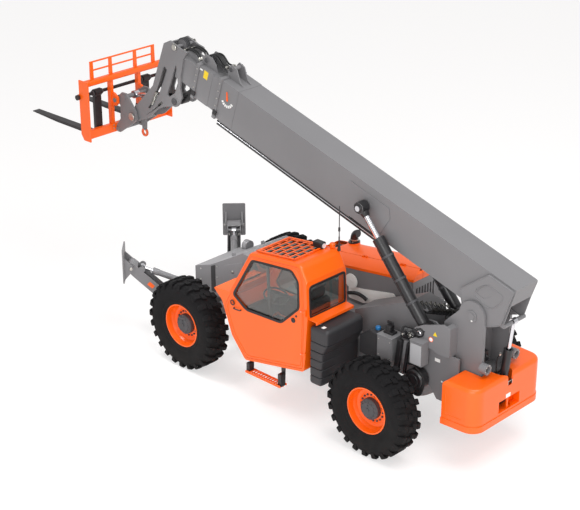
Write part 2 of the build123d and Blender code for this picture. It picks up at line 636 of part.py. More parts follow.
# ------------------------------------------------------------------ boom sections
HEX_PLATE = [(-3085, 2005), (-2990, 1960), (-2760, 1880), (-2600, 1880), (-2510, 2000),
             (-2433, 2306), (-2869, 2636), (-3262, 2520)]
LOZENGE = [(-2960, 2440), (-2840, 2500), (-2690, 2400), (-2700, 2330), (-2820, 2290),
           (-2950, 2370)]
EYE_PLATE = [(2120, -110), (2820, -110), (2880, -190), (2620, -600), (2160, -600), (2060, -240)]
NOSE_EAR = [(5060, -4), (5180, 40), (5290, 190), (5400, 205), (5430, 150), (5430, -4)]
with BuildPart() as outer:
    slab([(0, 0), (BOOM_L, 0), (BOOM_L, -OUTER_H), (0, -OUTER_H)], -OUTER_HALF, OUTER_HALF,
         boom_side)
    # thicker sleeve at the mouth, then the collar
    slab([(BOOM_L - 390, 4), (BOOM_L, 4), (BOOM_L, -OUTER_H - 4), (BOOM_L - 390, -OUTER_H - 4)],
         -OUTER_HALF - 4, OUTER_HALF + 4, boom_side)
    slab([(BOOM_L - 60, 20), (BOOM_L, 20), (BOOM_L, -OUTER_H - 26), (BOOM_L - 60, -OUTER_H - 26)],
         -OUTER_HALF - 20, OUTER_HALF + 20, boom_side)
    slab([(-10, -SHEET), (BOOM_L + 50, -SHEET), (BOOM_L + 50, SHEET - OUTER_H),
          (-10, SHEET - OUTER_H)], SHEET - OUTER_HALF, OUTER_HALF - SHEET, boom_side,
         mode=Mode.SUBTRACT)
    # tail plate, open below for the levelling cylinder
    slab([(0, 0), (SHEET, 0), (SHEET, -260), (0, -260)], -OUTER_HALF, OUTER_HALF, boom_side)
    slab([(-10, -260), (330, -260), (330, -OUTER_H - 10), (-10, -OUTER_H - 10)],
         SHEET * 2 - OUTER_HALF, OUTER_HALF - SHEET * 2, boom_side, mode=Mode.SUBTRACT)
    slabs(HEX_PLATE, OUTER_HALF, 249, corner=16)
    slabs(LOZENGE, 245, 260, corner=30, mode=Mode.SUBTRACT)
    slabs(EYE_PLATE, OUTER_HALF, 230, boom_side, corner=30)
    discs(LIFT_EYE, 74, OUTER_HALF, 238)
    discs(LEVEL_EYE, 30, 45, OUTER_HALF - 4)
    disc(PIVOT, 92, -249, 249)
    disc(PIVOT, 50.5, -260, 260, mode=Mode.SUBTRACT)
    # chain anchor on top of the mouth
    slabs(NOSE_EAR, 66, 84, boom_side)
    disc((5370, 150), 30, -100, 100, boom_side)
    # hose rail under the left edge
    slab([(2700, -OUTER_H), (5300, -OUTER_H), (5300, -OUTER_H - 22), (2700, -OUTER_H - 22)],
         180, 216, boom_side)
save(outer.part, "boom_outer")

# telescoping sections: label, tail, nose, top, bottom, half width, wall
SECTIONS = [("boom_second", 700, 5930, -45, -560, 188, 10),
            ("boom_third", 1000, 6350, -110, -500, HEAD_IN, 10)]
SECOND_EAR = [(5610, -45), (5660, 60), (5760, 125), (5900, 110), (5930, 40), (5930, -45)]
for label, tail, nose, top, bottom, half_w, wall in SECTIONS:
    with BuildPart() as section:
        slab([(tail, top), (nose, top), (nose, bottom), (tail, bottom)], -half_w, half_w,
             boom_side)
        if label == "boom_second":
            # collar and its sleeve, chain sheaves and bracket on top
            slab([(nose - 60, top + 20), (nose, top + 20), (nose, bottom - 30),
                  (nose - 60, bottom - 30)], -half_w - 20, half_w + 20, boom_side)
            slab([(nose - 330, top + 4), (nose, top + 4), (nose, bottom - 4),
                  (nose - 330, bottom - 4)], -half_w - 4, half_w + 4, boom_side)
            slabs(SECOND_EAR, 90, 106, boom_side)
            disc((5840, 50), 64, -80, 80, boom_side)
            disc((5840, 50), 24, -118, 118, boom_side)
        slab([(tail - 10, top - wall), (nose + 10, top - wall), (nose + 10, bottom + wall),
              (tail - 10, bottom + wall)], wall - half_w, half_w - wall, boom_side,
             mode=Mode.SUBTRACT)
    save(section.part, label)

# ------------------------------------------------------------------ boom head
HEAD_SIDE = [(3130, 4372), (3000, 4436), (2770, 4357), (2640, 4330), (2725, 4210), (2790, 3950),
             (2810, 3760), (2775, 3620), (2850, 3495), (2950, 3455), (3180, 3395), (3330, 3320),
             (3560, 3120), (3850, 3010), (3900, 3175), (3410, 3670)]
HEAD_GAP = [(2880, 4120), (3100, 3600), (3060, 3570), (2930, 3660), (2855, 3800)]
LIMB_GAP = [(3220, 3480), (3520, 3220), (3600, 3160), (3420, 3275), (3200, 3440)]
HEAD_SLOT = [(3092, 3985), (3125, 4025), (3163, 4000), (3325, 3600), (3318, 3545), (3278, 3555)]
CHAIN_PIN = (2890, 4360)                # sheave pin at the top of the head
with BuildPart() as head:
    slabs(HEAD_SIDE, HEAD_IN, HEAD_OUT, corner=20)
    discs(HEAD_PIN, 98, HEAD_IN, HEAD_OUT + 4)
    discs(TILT_BASE, 84, HEAD_IN, HEAD_OUT + 4)
    slabs(HEAD_GAP, HEAD_IN - 10, HEAD_OUT + 10, corner=10, mode=Mode.SUBTRACT)
    slabs(LIMB_GAP, HEAD_IN - 10, HEAD_OUT + 10, mode=Mode.SUBTRACT)
    slabs(HEAD_SLOT, HEAD_IN - 10, HEAD_OUT + 10, mode=Mode.SUBTRACT)
    # plate between the sides, down the front edge to the knee
    slab([(3130, 4372), (3412, 3668), (3470, 3612), (3452, 3594), (3390, 3656), (3104, 4366)],
         -HEAD_IN, HEAD_IN)
    disc(CHAIN_PIN, 26, -HEAD_OUT - 14, HEAD_OUT + 14)
    disc(CHAIN_PIN, 85, -45, 45)
    disc(HEAD_PIN, 95, -HEAD_IN, HEAD_IN)
    disc(HEAD_PIN, 40.5, -400, 400, mode=Mode.SUBTRACT)
    disc(TILT_BASE, 35, -HEAD_OUT - 14, HEAD_OUT + 14)
    # hook under the head pin
    slab([(3805, 3020), (3875, 3020), (3862, 2850), (3818, 2850)], -30, 30)
    disc((3840, 2795), 66, -14, 14)
    disc((3840, 2795), 38, -20, 20, mode=Mode.SUBTRACT)
    slab([(3850, 2815), (3930, 2815), (3930, 2850), (3872, 2850)], -20, 20, mode=Mode.SUBTRACT)
save(head.part, "boom_head")

# ------------------------------------------------------------------ coupler, carriage, forks
HOOK_BAR = (4165, 3300)                 # bar that carries the carriage
COUPLER_SIDE = [(3750, 3075), (3820, 3000), (4150, 2775), (4228, 2775), (4228, 2870),
                (4120, 3010), (4120, 3225), (4212, 3245), (4212, 3345), (4120, 3385),
                (4080, 3425), (3970, 3425), (3770, 3185)]
with BuildPart() as coupler:
    slabs(COUPLER_SIDE, 200, 228, corner=18)
    discs(HEAD_PIN, 92, 200, 234)
    # lower lock pin and upper hook bar
    disc((4195, 2820), 34, -240, 240)
    disc(HOOK_BAR, 34, -300, 300)
    # stubs each side of the tilt cylinder's eye
    discs(TILT_EYE, 44, 200, 236)
    discs(TILT_EYE, 30, 52, 200)
    disc(HEAD_PIN, 40, -250, 250)
save(coupler.part, "coupler")

CARRIAGE_HALF = 822
SHAFT = (4350, 3430)
CHEEK = [(4128, 2765), (4281, 2765), (4344, 2853), (4344, 3380), (4392, 3400), (4392, 3460),
         (4344, 3480), (4344, 3700), (4128, 3700)]
UPRIGHT = [(4240, 2800), (4316, 2800), (4316, 3640), (4240, 3640)]
HOOK_EAR = [(4250, 3210), (4250, 3410), (4190, 3400), (4110, 3345), (4110, 3255), (4150, 3210)]
POST = [(4278, 3680), (4310, 3680), (4302, 3945), (4284, 3945)]
with BuildPart() as carriage:
    slabs(CHEEK, CARRIAGE_HALF - 16, CARRIAGE_HALF, corner=8)
    slabs(UPRIGHT, 246, 300)
    slabs(HOOK_EAR, 250, 290)
    disc(HOOK_BAR, 34.5, -310, 310, mode=Mode.SUBTRACT)
    # cross beams: outline, corner radius
    for outline, corner in (([(4205, 3592), (4316, 3592), (4316, 3680), (4205, 3680)], 30),
                            ([(4240, 2765), (4316, 2765), (4316, 2900), (4240, 2900)], 10)):
        slab(outline, -CARRIAGE_HALF + 16, CARRIAGE_HALF - 16, corner=corner)
    disc(SHAFT, 27, -CARRIAGE_HALF - 5, CARRIAGE_HALF + 5, mode=Mode.SUBTRACT)
    # load backrest: four posts and two rails
    for y in (-605, -242, 242, 605):
        slab(POST, y - 28, y + 28)
    for z in (3935, 3805):
        with BuildSketch(Plane(origin=(X_MID + 4293, -632, z), x_dir=(1, 0, 0), z_dir=(0, 1, 0))):
            Circle(13)
        extrude(amount=1264)
save(carriage.part, "carriage")

TIP_X = FORK_FACE_X + FORK_LENGTH
FORK_SIDE = [(FORK_FACE_X - 55, 3430), (FORK_FACE_X - 55, FORK_TOP - 20),
             (FORK_FACE_X - 30, FORK_TOP - FORK_T), (FORK_FACE_X + 900, FORK_TOP - FORK_T + 6),
             (TIP_X, FORK_TOP - 12), (TIP_X, FORK_TOP), (FORK_FACE_X, FORK_TOP),
             (FORK_FACE_X, 3430)]
with BuildPart() as forks:
    for y in (FORK_Y, -FORK_Y):
        slab(FORK_SIDE, y - FORK_W / 2, y + FORK_W / 2)
        disc(SHAFT, 56, y - FORK_W / 2, y + FORK_W / 2)
    disc(SHAFT, 26, -CARRIAGE_HALF - 8, CARRIAGE_HALF + 8)
    discs(SHAFT, 40, CARRIAGE_HALF + 8, CARRIAGE_HALF + 44)
save(forks.part, "forks")

# ------------------------------------------------------------------ cylinders


def axis_plane(base, eye, y=0.0, where=side):
    """Plane along a cylinder: local x runs from the base pin to the eye."""
    flat = where(y)
    start = flat.from_local_coords(Vector(base[0], base[1], 0))
    end = flat.from_local_coords(Vector(eye[0], eye[1], 0))
    return Plane(origin=start, x_dir=end - start, z_dir=flat.z_dir)


def barrel(base, eye, length, radius, eye_r, eye_half, bore, y=0.0, where=side):
    """Barrel with its base eye; open at the gland for the rod."""
    plane = axis_plane(base, eye, y, where)
    bored = radius * 0.72
    with BuildPart() as piece:
        with BuildSketch(plane):
            with BuildLine():
                Polyline((0, 0), (0, radius * 0.8), (eye_r, radius), (length - 90, radius),
                         (length - 90, radius + 6), (length, radius + 6), (length, bored),
                         (eye_r + 60, bored), (eye_r + 60, 0), close=True)
            make_face()
        revolve(axis=Axis(plane.origin, plane.x_dir))
        with BuildSketch(plane):
            Circle(eye_r)
        extrude(amount=eye_half, both=True)
        with BuildSketch(plane):
            Circle(bore)
        extrude(amount=radius * 2, both=True, mode=Mode.SUBTRACT)
    return piece.part


def rod(base, eye, start, radius, piston, eye_r, eye_half, y=0.0, where=side):
    """Rod with its eye, and the piston inside the barrel."""
    reach = span(base, eye)
    plane = axis_plane(base, eye, y, where)
    with BuildPart() as piece:
        with BuildSketch(plane):
            with BuildLine():
                Polyline((start, 0), (start, piston), (start + 60, piston), (start + 60, radius),
                         (reach, radius), (reach, 0), close=True)
            make_face()
        revolve(axis=Axis(plane.origin, plane.x_dir))
        with BuildSketch(plane):
            with Locations((reach, 0)):
                Circle(eye_r)
        extrude(amount=eye_half, both=True)
    return piece.part


with BuildPart() as lift_barrels:
    for y in (LIFT_Y, -LIFT_Y):
        add(barrel(LIFT_BASE, LIFT_EYE, 1340, 80, 95, 75, PIN_R + 0.5, y))
save(lift_barrels.part, "lift_barrels")

with BuildPart() as lift_rods:
    for y in (LIFT_Y, -LIFT_Y):
        add(rod(LIFT_BASE, LIFT_EYE, 560, 42, 54, 80, 68, y))
        disc(LIFT_EYE, 38, y - 90, y + 90)
save(lift_rods.part, "lift_rods")

save(barrel(LEVEL_BASE, LEVEL_EYE, 765, 56, 62, 50, 30.5), "level_barrel")
save(rod(LEVEL_BASE, LEVEL_EYE, 560, 26, 38, 45, 38), "level_rod")
save(barrel(TILT_BASE, TILT_EYE, 700, 62, 70, 60, 35.5), "tilt_barrel")
save(rod(TILT_BASE, TILT_EYE, 380, 32, 42, 60, 45), "tilt_rod")

# ------------------------------------------------------------------ outriggers
arm_run = span(ARM_ROOT, ARM_FOOT)
PAD_FACE = ARM_FOOT[0] + 102            # inner face of the upright foot plate
PAD_EAR = [(PAD_FACE + 4, 985), (PAD_FACE + 4, 1350), (ARM_FOOT[0] - 20, 1225),
           (ARM_FOOT[0] - 45, 1179), (ARM_FOOT[0] - 20, 1133)]
for tail, where in (("left", splay), ("right", splay_right)):
    def along(offset, view=where):
        """Plane along the arm: local x from its root pin to its foot pin."""
        return axis_plane(ARM_ROOT, ARM_FOOT, offset, view)

    with BuildPart() as arm:
        slab([(-50, -60), (200, -85), (arm_run - 90, -85), (arm_run, -70), (arm_run, 70),
              (200, 80), (0, 60), (-50, 30)], -ARM_HALF, ARM_HALF, along)
        disc((arm_run, 0), 70, -ARM_HALF, ARM_HALF, along)
        slab([(90, -50), (200, -73), (arm_run - 60, -73), (arm_run - 60, 200), (90, 200)],
             SHEET - ARM_HALF, ARM_HALF - SHEET, along, mode=Mode.SUBTRACT)
        disc(ARM_ROOT, 31, -200, 200, where, mode=Mode.SUBTRACT)
        discs(STAY_EYE, 48, ARM_HALF - SHEET, ARM_HALF, where)
        discs(STAY_EYE, 20, 48, ARM_HALF - SHEET / 2, where)
        disc(ARM_FOOT, 24, -ARM_HALF - 45, ARM_HALF + 45, where)
    save(arm.part, f"outrigger_arm_{tail}")

    with BuildPart() as pad:
        flat = where()
        with BuildSketch(Plane(origin=flat.from_local_coords(Vector(PAD_FACE, 1220, 0)),
                               x_dir=flat.z_dir, z_dir=flat.x_dir)):
            RectangleRounded(360, 540, 20)
        extrude(amount=20)
        slabs(PAD_EAR, ARM_HALF + 13, ARM_HALF + 33, where)
        discs(ARM_FOOT, 24.5, ARM_HALF, ARM_HALF + 40, where, mode=Mode.SUBTRACT)
    save(pad.part, f"outrigger_pad_{tail}")

    save(barrel(STAY_BASE, STAY_EYE, 800, 45, 52, 45, 30.5, 0.0, where), f"stay_barrel_{tail}")
    save(rod(STAY_BASE, STAY_EYE, 190, 24, 30, 40, 36, 0.0, where), f"stay_rod_{tail}")
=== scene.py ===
import bmesh
import bpy
import numpy as np
from math import cos, radians, sin
from mathutils import Matrix, Vector


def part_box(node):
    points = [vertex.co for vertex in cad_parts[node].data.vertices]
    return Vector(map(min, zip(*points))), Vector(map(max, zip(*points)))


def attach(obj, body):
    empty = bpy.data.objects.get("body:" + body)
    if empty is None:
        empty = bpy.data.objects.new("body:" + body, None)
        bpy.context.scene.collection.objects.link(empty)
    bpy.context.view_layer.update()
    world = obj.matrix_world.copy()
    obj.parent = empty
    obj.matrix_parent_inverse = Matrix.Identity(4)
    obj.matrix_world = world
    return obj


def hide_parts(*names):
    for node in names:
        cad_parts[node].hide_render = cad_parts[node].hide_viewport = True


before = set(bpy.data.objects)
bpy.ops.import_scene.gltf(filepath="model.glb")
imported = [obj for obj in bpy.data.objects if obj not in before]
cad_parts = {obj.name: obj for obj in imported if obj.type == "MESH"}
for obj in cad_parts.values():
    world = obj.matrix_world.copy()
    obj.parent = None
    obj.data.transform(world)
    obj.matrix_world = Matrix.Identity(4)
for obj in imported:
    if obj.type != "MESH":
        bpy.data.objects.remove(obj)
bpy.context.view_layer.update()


# ------------------------------------------------------------------ places, from the frame
def middle(node):
    """Middle of a CAD node's box."""
    low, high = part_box(node)
    return (np.array(low) + np.array(high)) / 2


MID_X = (middle("rim_fl")[0] + middle("rim_rl")[0]) / 2     # middle of the wheelbase
BOOM_ANGLE = radians(16.82)
BOOM_ALONG = np.array([cos(BOOM_ANGLE), 0, sin(BOOM_ANGLE)])
BOOM_UP = np.array([-sin(BOOM_ANGLE), 0, cos(BOOM_ANGLE)])
FORWARD, LEFT, UP = np.eye(3)
SIDES = (("left", 1), ("right", -1))
PLATE = 0.0016                                              # thickness of a printed plate


def at(x, y, z):
    """A place given from the middle of the wheelbase."""
    return np.array([MID_X + x, y, z], float)


def on_boom(u, y, v):
    """A place u along the boom from its tail, y to the left and v above its top face."""
    return at(-3.279, y, 2.542) + u * BOOM_ALONG + v * BOOM_UP


# ------------------------------------------------------------------ finishes
def linear(code):
    """A colour written as sRGB hex, as linear RGBA."""
    srgb = np.array([int(code[i:i + 2], 16) for i in (0, 2, 4)]) / 255
    return (*np.where(srgb <= 0.04045, srgb / 12.92, ((srgb + 0.055) / 1.055) ** 2.4), 1.0)


def add(tree, kind, inputs=None, **properties):
    """Adds a node: properties are set on it, and an input takes a value or another's socket."""
    node = tree.nodes.new("ShaderNode" + kind)
    for name, value in properties.items():
        setattr(node, name, value)
    for name, value in (inputs or {}).items():
        if isinstance(value, bpy.types.NodeSocket):
            tree.links.new(value, node.inputs[name])
        else:
            node.inputs[name].default_value = value
    return node


def finish(name, colour, shade, patch=0.4, gloss=(0.35, 0.5), grain=0.003, relief=0.05,
           dust=None, **shader):
    """A surface whose colour drifts between two shades in patches, with its own fine grain.

    patch and grain are real sizes in metres, gloss is the range of roughness over the
    patches, and dust is a colour that settles near the ground.
    """
    made = bpy.data.materials.new(name)
    made.use_nodes = True
    tree = made.node_tree
    tree.nodes.clear()
    place = add(tree, "TexCoord").outputs["Object"]
    drift = add(tree, "TexNoise", {"Vector": place, "Scale": 1 / patch, "Detail": 3.0})
    tone = add(tree, "Mix", {"Factor": drift.outputs["Fac"], "A": linear(colour),
                             "B": linear(shade)}, data_type="RGBA")
    surface = tone.outputs["Result"]
    if dust:
        height = add(tree, "SeparateXYZ", {"Vector": place})
        near = add(tree, "MapRange", {"Value": height.outputs["Z"], "From Min": 1.1,
                                      "From Max": 0.15, "To Max": 0.55})
        speck = add(tree, "TexNoise", {"Vector": place, "Scale": 9.0, "Detail": 6.0})
        share = add(tree, "Math", {0: near.outputs["Result"], 1: speck.outputs["Fac"]},
                    operation="MULTIPLY")
        surface = add(tree, "Mix", {"Factor": share.outputs["Value"], "A": surface,
                                    "B": linear(dust)}, data_type="RGBA").outputs["Result"]
    rough = add(tree, "MapRange", {"Value": drift.outputs["Fac"], "To Min": gloss[0],
                                   "To Max": gloss[1]})
    skin = add(tree, "TexNoise", {"Vector": place, "Scale": 1 / grain, "Detail": 2.0})
    bump = add(tree, "Bump", {"Height": skin.outputs["Fac"], "Strength": relief,
                              "Distance": grain})
    body = add(tree, "BsdfPrincipled", {"Base Color": surface, "Normal": bump.outputs["Normal"],
                                        "Roughness": rough.outputs["Result"], **shader})
    add(tree, "OutputMaterial", {"Surface": body.outputs["BSDF"]})
    return made


# satin two-pack enamel on pressed and welded steel: clean colour, faint orange peel
orange_enamel = finish("orange enamel", "FC6400", "F45C00", 0.9, (0.32, 0.42), 0.006, 0.04,
                       **{"Coat Weight": 0.1, "Coat Roughness": 0.15})
grey_enamel = finish("grey enamel", "7C7B7D", "737274", 0.8, (0.38, 0.50), 0.006, 0.05)
pale_enamel = finish("pale grey enamel", "B4B4B6", "A6A6A9", 0.5, (0.35, 0.45), 0.005, 0.04)
black_enamel = finish("black enamel", "262527", "1C1B1D", 0.4, (0.28, 0.42), 0.004, 0.05)
# moulded tyre rubber: matt black, greyed by dust in the tread
tyre_rubber = finish("tyre rubber", "121113", "0B0A0C", 0.12, (0.78, 0.94), 0.008, 0.35,
                     dust="2A2826", **{"Specular IOR Level": 0.25})
# rotomoulded polyethylene tank: soft sheen over a coarse pebbled skin
moulded_plastic = finish("moulded polyethylene", "2F2E31", "262527", 0.3, (0.45, 0.6), 0.007,
                         0.22)
hose_rubber = finish("hose rubber", "1B1B1D", "141415", 0.1, (0.45, 0.6), 0.004, 0.15)
seat_vinyl = finish("seat vinyl", "303135", "26272A", 0.2, (0.5, 0.62), 0.004, 0.3)
# sand-cast ductile iron under black wash: rough, faintly mottled
cast_iron = finish("cast iron", "4B4B4E", "3C3C3F", 0.08, (0.5, 0.7), 0.005, 0.4)
# forged fork steel with a black oxide skin, rubbed where loads slide
fork_steel = finish("black oxide steel", "343032", "262325", 0.25, (0.35, 0.55), 0.005, 0.12,
                    Metallic=0.35)
# hard chrome on ground rod: near mirror, slightly blue grey
hard_chrome = finish("hard chrome", "D9D9DC", "CFCFD4", 0.3, (0.12, 0.2), 0.002, 0.02,
                     Metallic=1.0)
zinc_plate = finish("zinc plate", "C9C7C0", "B5B3AD", 0.05, (0.28, 0.4), 0.003, 0.08,
                    Metallic=1.0)
black_zinc = finish("black zinc plate", "5C5A57", "4B4A48", 0.05, (0.35, 0.5), 0.003, 0.08,
                    Metallic=1.0)
blue_cap = finish("blue plastic", "1F6FA8", "1A6299", 0.1, (0.35, 0.45), 0.003, 0.05)
amber_plate = finish("yellow plate", "F2D024", "E8C51C", 0.1, (0.4, 0.5), 0.003, 0.03)
white_plate = finish("white plate", "F2F2F0", "E9E9E6", 0.1, (0.35, 0.45), 0.003, 0.03)
lamp_lens = finish("lamp lens", "E4E6E8", "D6D9DC", 0.05, (0.08, 0.14), 0.004, 0.1)


def glazing(name, tint):
    """Tinted glass: seen through in its tint, with a gloss that grows towards grazing views."""
    made = bpy.data.materials.new(name)
    made.use_nodes = True
    tree = made.node_tree
    tree.nodes.clear()
    place = add(tree, "TexCoord").outputs["Object"]
    film = add(tree, "TexNoise", {"Vector": place, "Scale": 3.0, "Detail": 2.0})
    rough = add(tree, "MapRange", {"Value": film.outputs["Fac"], "To Min": 0.0, "To Max": 0.03})
    clear = add(tree, "BsdfTransparent", {"Color": linear(tint)})
    gloss = add(tree, "BsdfGlossy", {"Roughness": rough.outputs["Result"],
                                     "Color": (0.9, 0.9, 0.9, 1.0)})
    angle = add(tree, "LayerWeight", {"Blend": 0.5})
    share = add(tree, "MapRange", {"Value": angle.outputs["Facing"], "From Min": 0.35,
                                   "To Min": 0.08, "To Max": 0.45})
    both = add(tree, "MixShader", {0: share.outputs["Result"], 1: clear.outputs["BSDF"],
                                   2: gloss.outputs["BSDF"]})
    add(tree, "OutputMaterial", {"Surface": both.outputs["Shader"]})
    return made


safety_glass = glazing("safety glass", "F1F5F3")
smoked_glass = glazing("smoked glass", "4E5357")

CORNERS = ("fl", "fr", "rl", "rr")
NODE_FINISHES = (
    (orange_enamel, ["counterweight", "cab_shell", "cab_door", "roof_guard", "hood", "hood_cowl",
                     "carriage", "cab_steps"] + ["rim_" + c for c in CORNERS]),
    (grey_enamel, ["frame", "front_housing", "tower", "boom_outer", "boom_second",
                   "boom_third", "boom_head", "coupler", "axle_front", "axle_rear",
                   "pod_panels", "outrigger_arm_left", "outrigger_arm_right",
                   "outrigger_pad_left", "outrigger_pad_right", "stay_barrel_left",
                   "stay_barrel_right"] + ["knuckle_" + c for c in CORNERS]),
    (black_enamel, ["lift_barrels", "level_barrel", "tilt_barrel", "exhaust"]),
    (fork_steel, ["forks"]),
    (hard_chrome, ["lift_rods", "level_rod", "tilt_rod", "stay_rod_left", "stay_rod_right"]),
    (moulded_plastic, ["tank", "cab_interior"]),
    (cast_iron, ["engine"]),
    (safety_glass, ["cab_glass", "door_glass"]),
    (tyre_rubber, ["tyre_" + c for c in CORNERS]),
)
for made, nodes in NODE_FINISHES:
    for node in nodes:
        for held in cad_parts[node].material_slots:
            held.material = made


# ------------------------------------------------------------------ shapes as arrays
def unit(v):
    """Vectors divided by their lengths."""
    return v / np.linalg.norm(v, axis=-1, keepdims=True)


def quads(rows, columns, wrap=True, start=0):
    """Faces of a grid of points, numbered row by row; wrap joins the last column to the first."""
    last = columns if wrap else columns - 1
    r, c = np.meshgrid(np.arange(rows - 1), np.arange(last), indexing="ij")
    nxt = (c + 1) % columns
    faces = np.stack([r * columns + c, r * columns + nxt, (r + 1) * columns + nxt,
                      (r + 1) * columns + c], -1)
    return (faces.reshape(-1, 4) + start).tolist()


def ring_back(rows, columns):
    """Faces that join the last row of a grid to its first, where the rows make a ring."""
    i = np.arange(columns)
    nxt, last = (i + 1) % columns, (rows - 1) * columns
    return np.stack([last + i, last + nxt, nxt, i], -1).tolist()


def end_faces(rows, columns):
    """Two flat faces that close the first and the last row of a grid."""
    return [list(range(columns)), list(range((rows - 1) * columns, rows * columns))]


def joined(*shapes):
    """Several shapes as one."""
    points, faces, count = [], [], 0
    for own, its in shapes:
        points.append(own)
        faces += [[i + count for i in face] for face in its]
        count += len(own)
    return np.concatenate(points), faces


def repeated(shape, places, turns=None):
    """A shape set at each place, each copy turned by its own 3 x 3 matrix."""
    own, its = shape
    places = np.asarray(places, float)
    if turns is None:
        turns = np.broadcast_to(np.eye(3), (len(places), 3, 3))
    points = np.einsum("nij,pj->npi", turns, own) + places[:, None]
    steps = np.arange(len(places)) * len(own)
    faces = [[i + step for i in face] for step in steps.tolist() for face in its]
    return points.reshape(-1, 3), faces


def sides_of(axis):
    """Two directions square to an axis and to each other."""
    axis = unit(np.asarray(axis, float))
    helper = UP if abs(axis[2]) < 0.9 else FORWARD
    across = unit(np.cross(helper, axis))
    return across, np.cross(axis, across)


def spun(profile, centre, axis, steps=32):
    """Surface of revolution: each (radius, height) of the profile goes round the axis.

    point = centre + height * axis + radius * (cos t * across + sin t * other)
    """
    profile = np.asarray(profile, float)
    across, other = sides_of(axis)
    t = np.linspace(0, 2 * np.pi, steps, endpoint=False)
    ring = np.cos(t)[:, None] * across + np.sin(t)[:, None] * other
    points = (np.asarray(centre, float) + profile[:, 1, None, None] * unit(np.asarray(axis, float))
              + profile[:, 0, None, None] * ring)
    faces = quads(len(profile), steps) + end_faces(len(profile), steps)
    return points.reshape(-1, 3), faces


def curved(points, per=8):
    """A smooth run through the points, by Catmull and Rom's cubic on each span."""
    p = np.asarray(points, float)
    p = np.concatenate([[2 * p[0] - p[1]], p, [2 * p[-1] - p[-2]]])
    t = np.linspace(0, 1, per, endpoint=False)[None, :, None]
    a, b, c, d = (p[i:len(p) - 3 + i, None] for i in range(4))
    run = 0.5 * (2 * b + (c - a) * t + (2 * a - 5 * b + 4 * c - d) * t ** 2
                 + (3 * b - a - 3 * c + d) * t ** 3)
    return np.concatenate([run.reshape(-1, 3), p[-2:-1]])


def tube(path, radius, steps=10, closed=False):
    """Round tube along a path: a ring square to the path's direction at each of its points."""
    path = np.asarray(path, float)
    if closed:
        ahead = np.roll(path, -1, 0) - np.roll(path, 1, 0)
    else:
        ahead = np.gradient(path, axis=0)
    ahead = unit(ahead)
    # the direction in which the path spreads least keeps the rings from twisting
    helper = np.linalg.svd(path - path.mean(0), full_matrices=True)[2][2]
    across = unit(np.cross(ahead, helper))
    other = np.cross(across, ahead)
    t = np.linspace(0, 2 * np.pi, steps, endpoint=False)[None, :, None]
    points = path[:, None] + radius * (np.cos(t) * across[:, None] + np.sin(t) * other[:, None])
    closing = ring_back if closed else end_faces
    return points.reshape(-1, 3), quads(len(path), steps) + closing(len(path), steps)


def prism(outline, origin, along, up, thick):
    """Plate: an outline in the plane of two directions, given thickness square to both."""
    outline = np.asarray(outline, float)
    out = np.cross(np.asarray(along, float), np.asarray(up, float))
    flat = origin + outline[:, :1] * along + outline[:, 1:] * up
    points = np.concatenate([flat - out * thick / 2, flat + out * thick / 2])
    return points, quads(2, len(outline)) + end_faces(2, len(outline))


def side_plate(outline, y, thick):
    """Plate with an outline of (x, z) from the middle of the wheelbase, centred at y."""
    return prism(outline, at(0, y, 0), FORWARD, UP, thick)


def oblong(length, height, x=0.0, y=0.0):
    """Outline of a rectangle about its middle."""
    return np.array([(-0.5, -0.5), (0.5, -0.5), (0.5, 0.5), (-0.5, 0.5)]) * (length, height) + (x, y)


def box_at(x, y, z, length, width, height):
    """Box by its centre from the middle of the wheelbase, and its sizes."""
    return prism(oblong(length, height), at(x, y, z), FORWARD, UP, width)


def rounded(outline, radius, steps=5):
    """Outline with each corner turned into an arc, by a quadratic curve across the corner."""
    p = np.asarray(outline, float)
    before, after = unit(np.roll(p, 1, 0) - p), unit(np.roll(p, -1, 0) - p)
    t = np.linspace(0, 1, steps)[None, :, None]
    start, end = (p + before * radius)[:, None], (p + after * radius)[:, None]
    return ((1 - t) ** 2 * start + 2 * t * (1 - t) * p[:, None] + t ** 2 * end).reshape(-1, 2)


def inset(outline, gap):
    """Outline moved square to its edges by gap, inward where its points run anticlockwise."""
    p = np.asarray(outline, float)
    edge = unit(np.roll(p, -1, 0) - p)
    normal = np.stack([-edge[:, 1], edge[:, 0]], -1)
    both = unit(normal + np.roll(normal, 1, 0))
    return p + both * gap / np.sum(both * normal, -1, keepdims=True)


def band(outline, origin, along, up, width, thick):
    """Flat frame round an outline: a rectangle of width and thickness carried along it."""
    inner = inset(outline, width)
    out = np.cross(along, up) * thick / 2
    rings = [origin + ring[:, :1] * along + ring[:, 1:] * up + side * out
             for ring, side in ((outline, 1), (inner, 1), (inner, -1), (outline, -1))]
    return np.concatenate(rings), quads(4, len(outline)) + ring_back(4, len(outline))


def hexagon_head(radius, height):
    """Bolt head about +Z: a six-sided spin with a turned chamfer on top."""
    return spun([(radius, 0), (radius, height * 0.75), (radius * 0.82, height)], (0, 0, 0), UP, 6)


def facing(axis, count):
    """The turn that stands a shape made along +Z on an axis, once for each copy."""
    across, other = sides_of(axis)
    turn = np.stack([across, other, unit(np.asarray(axis, float))], -1)
    return np.broadcast_to(turn, (count, 3, 3))


def bolts(places, axis, radius=0.011, height=0.009):
    """Bolt heads standing on an axis at each place."""
    return repeated(hexagon_head(radius, height), places, facing(axis, len(places)))


def circle_of(centre, axis, radius, count, first=0.0):
    """Places evenly round a circle."""
    across, other = sides_of(axis)
    t = first + np.linspace(0, 2 * np.pi, count, endpoint=False)[:, None]
    return np.asarray(centre, float) + radius * (np.cos(t) * across + np.sin(t) * other)


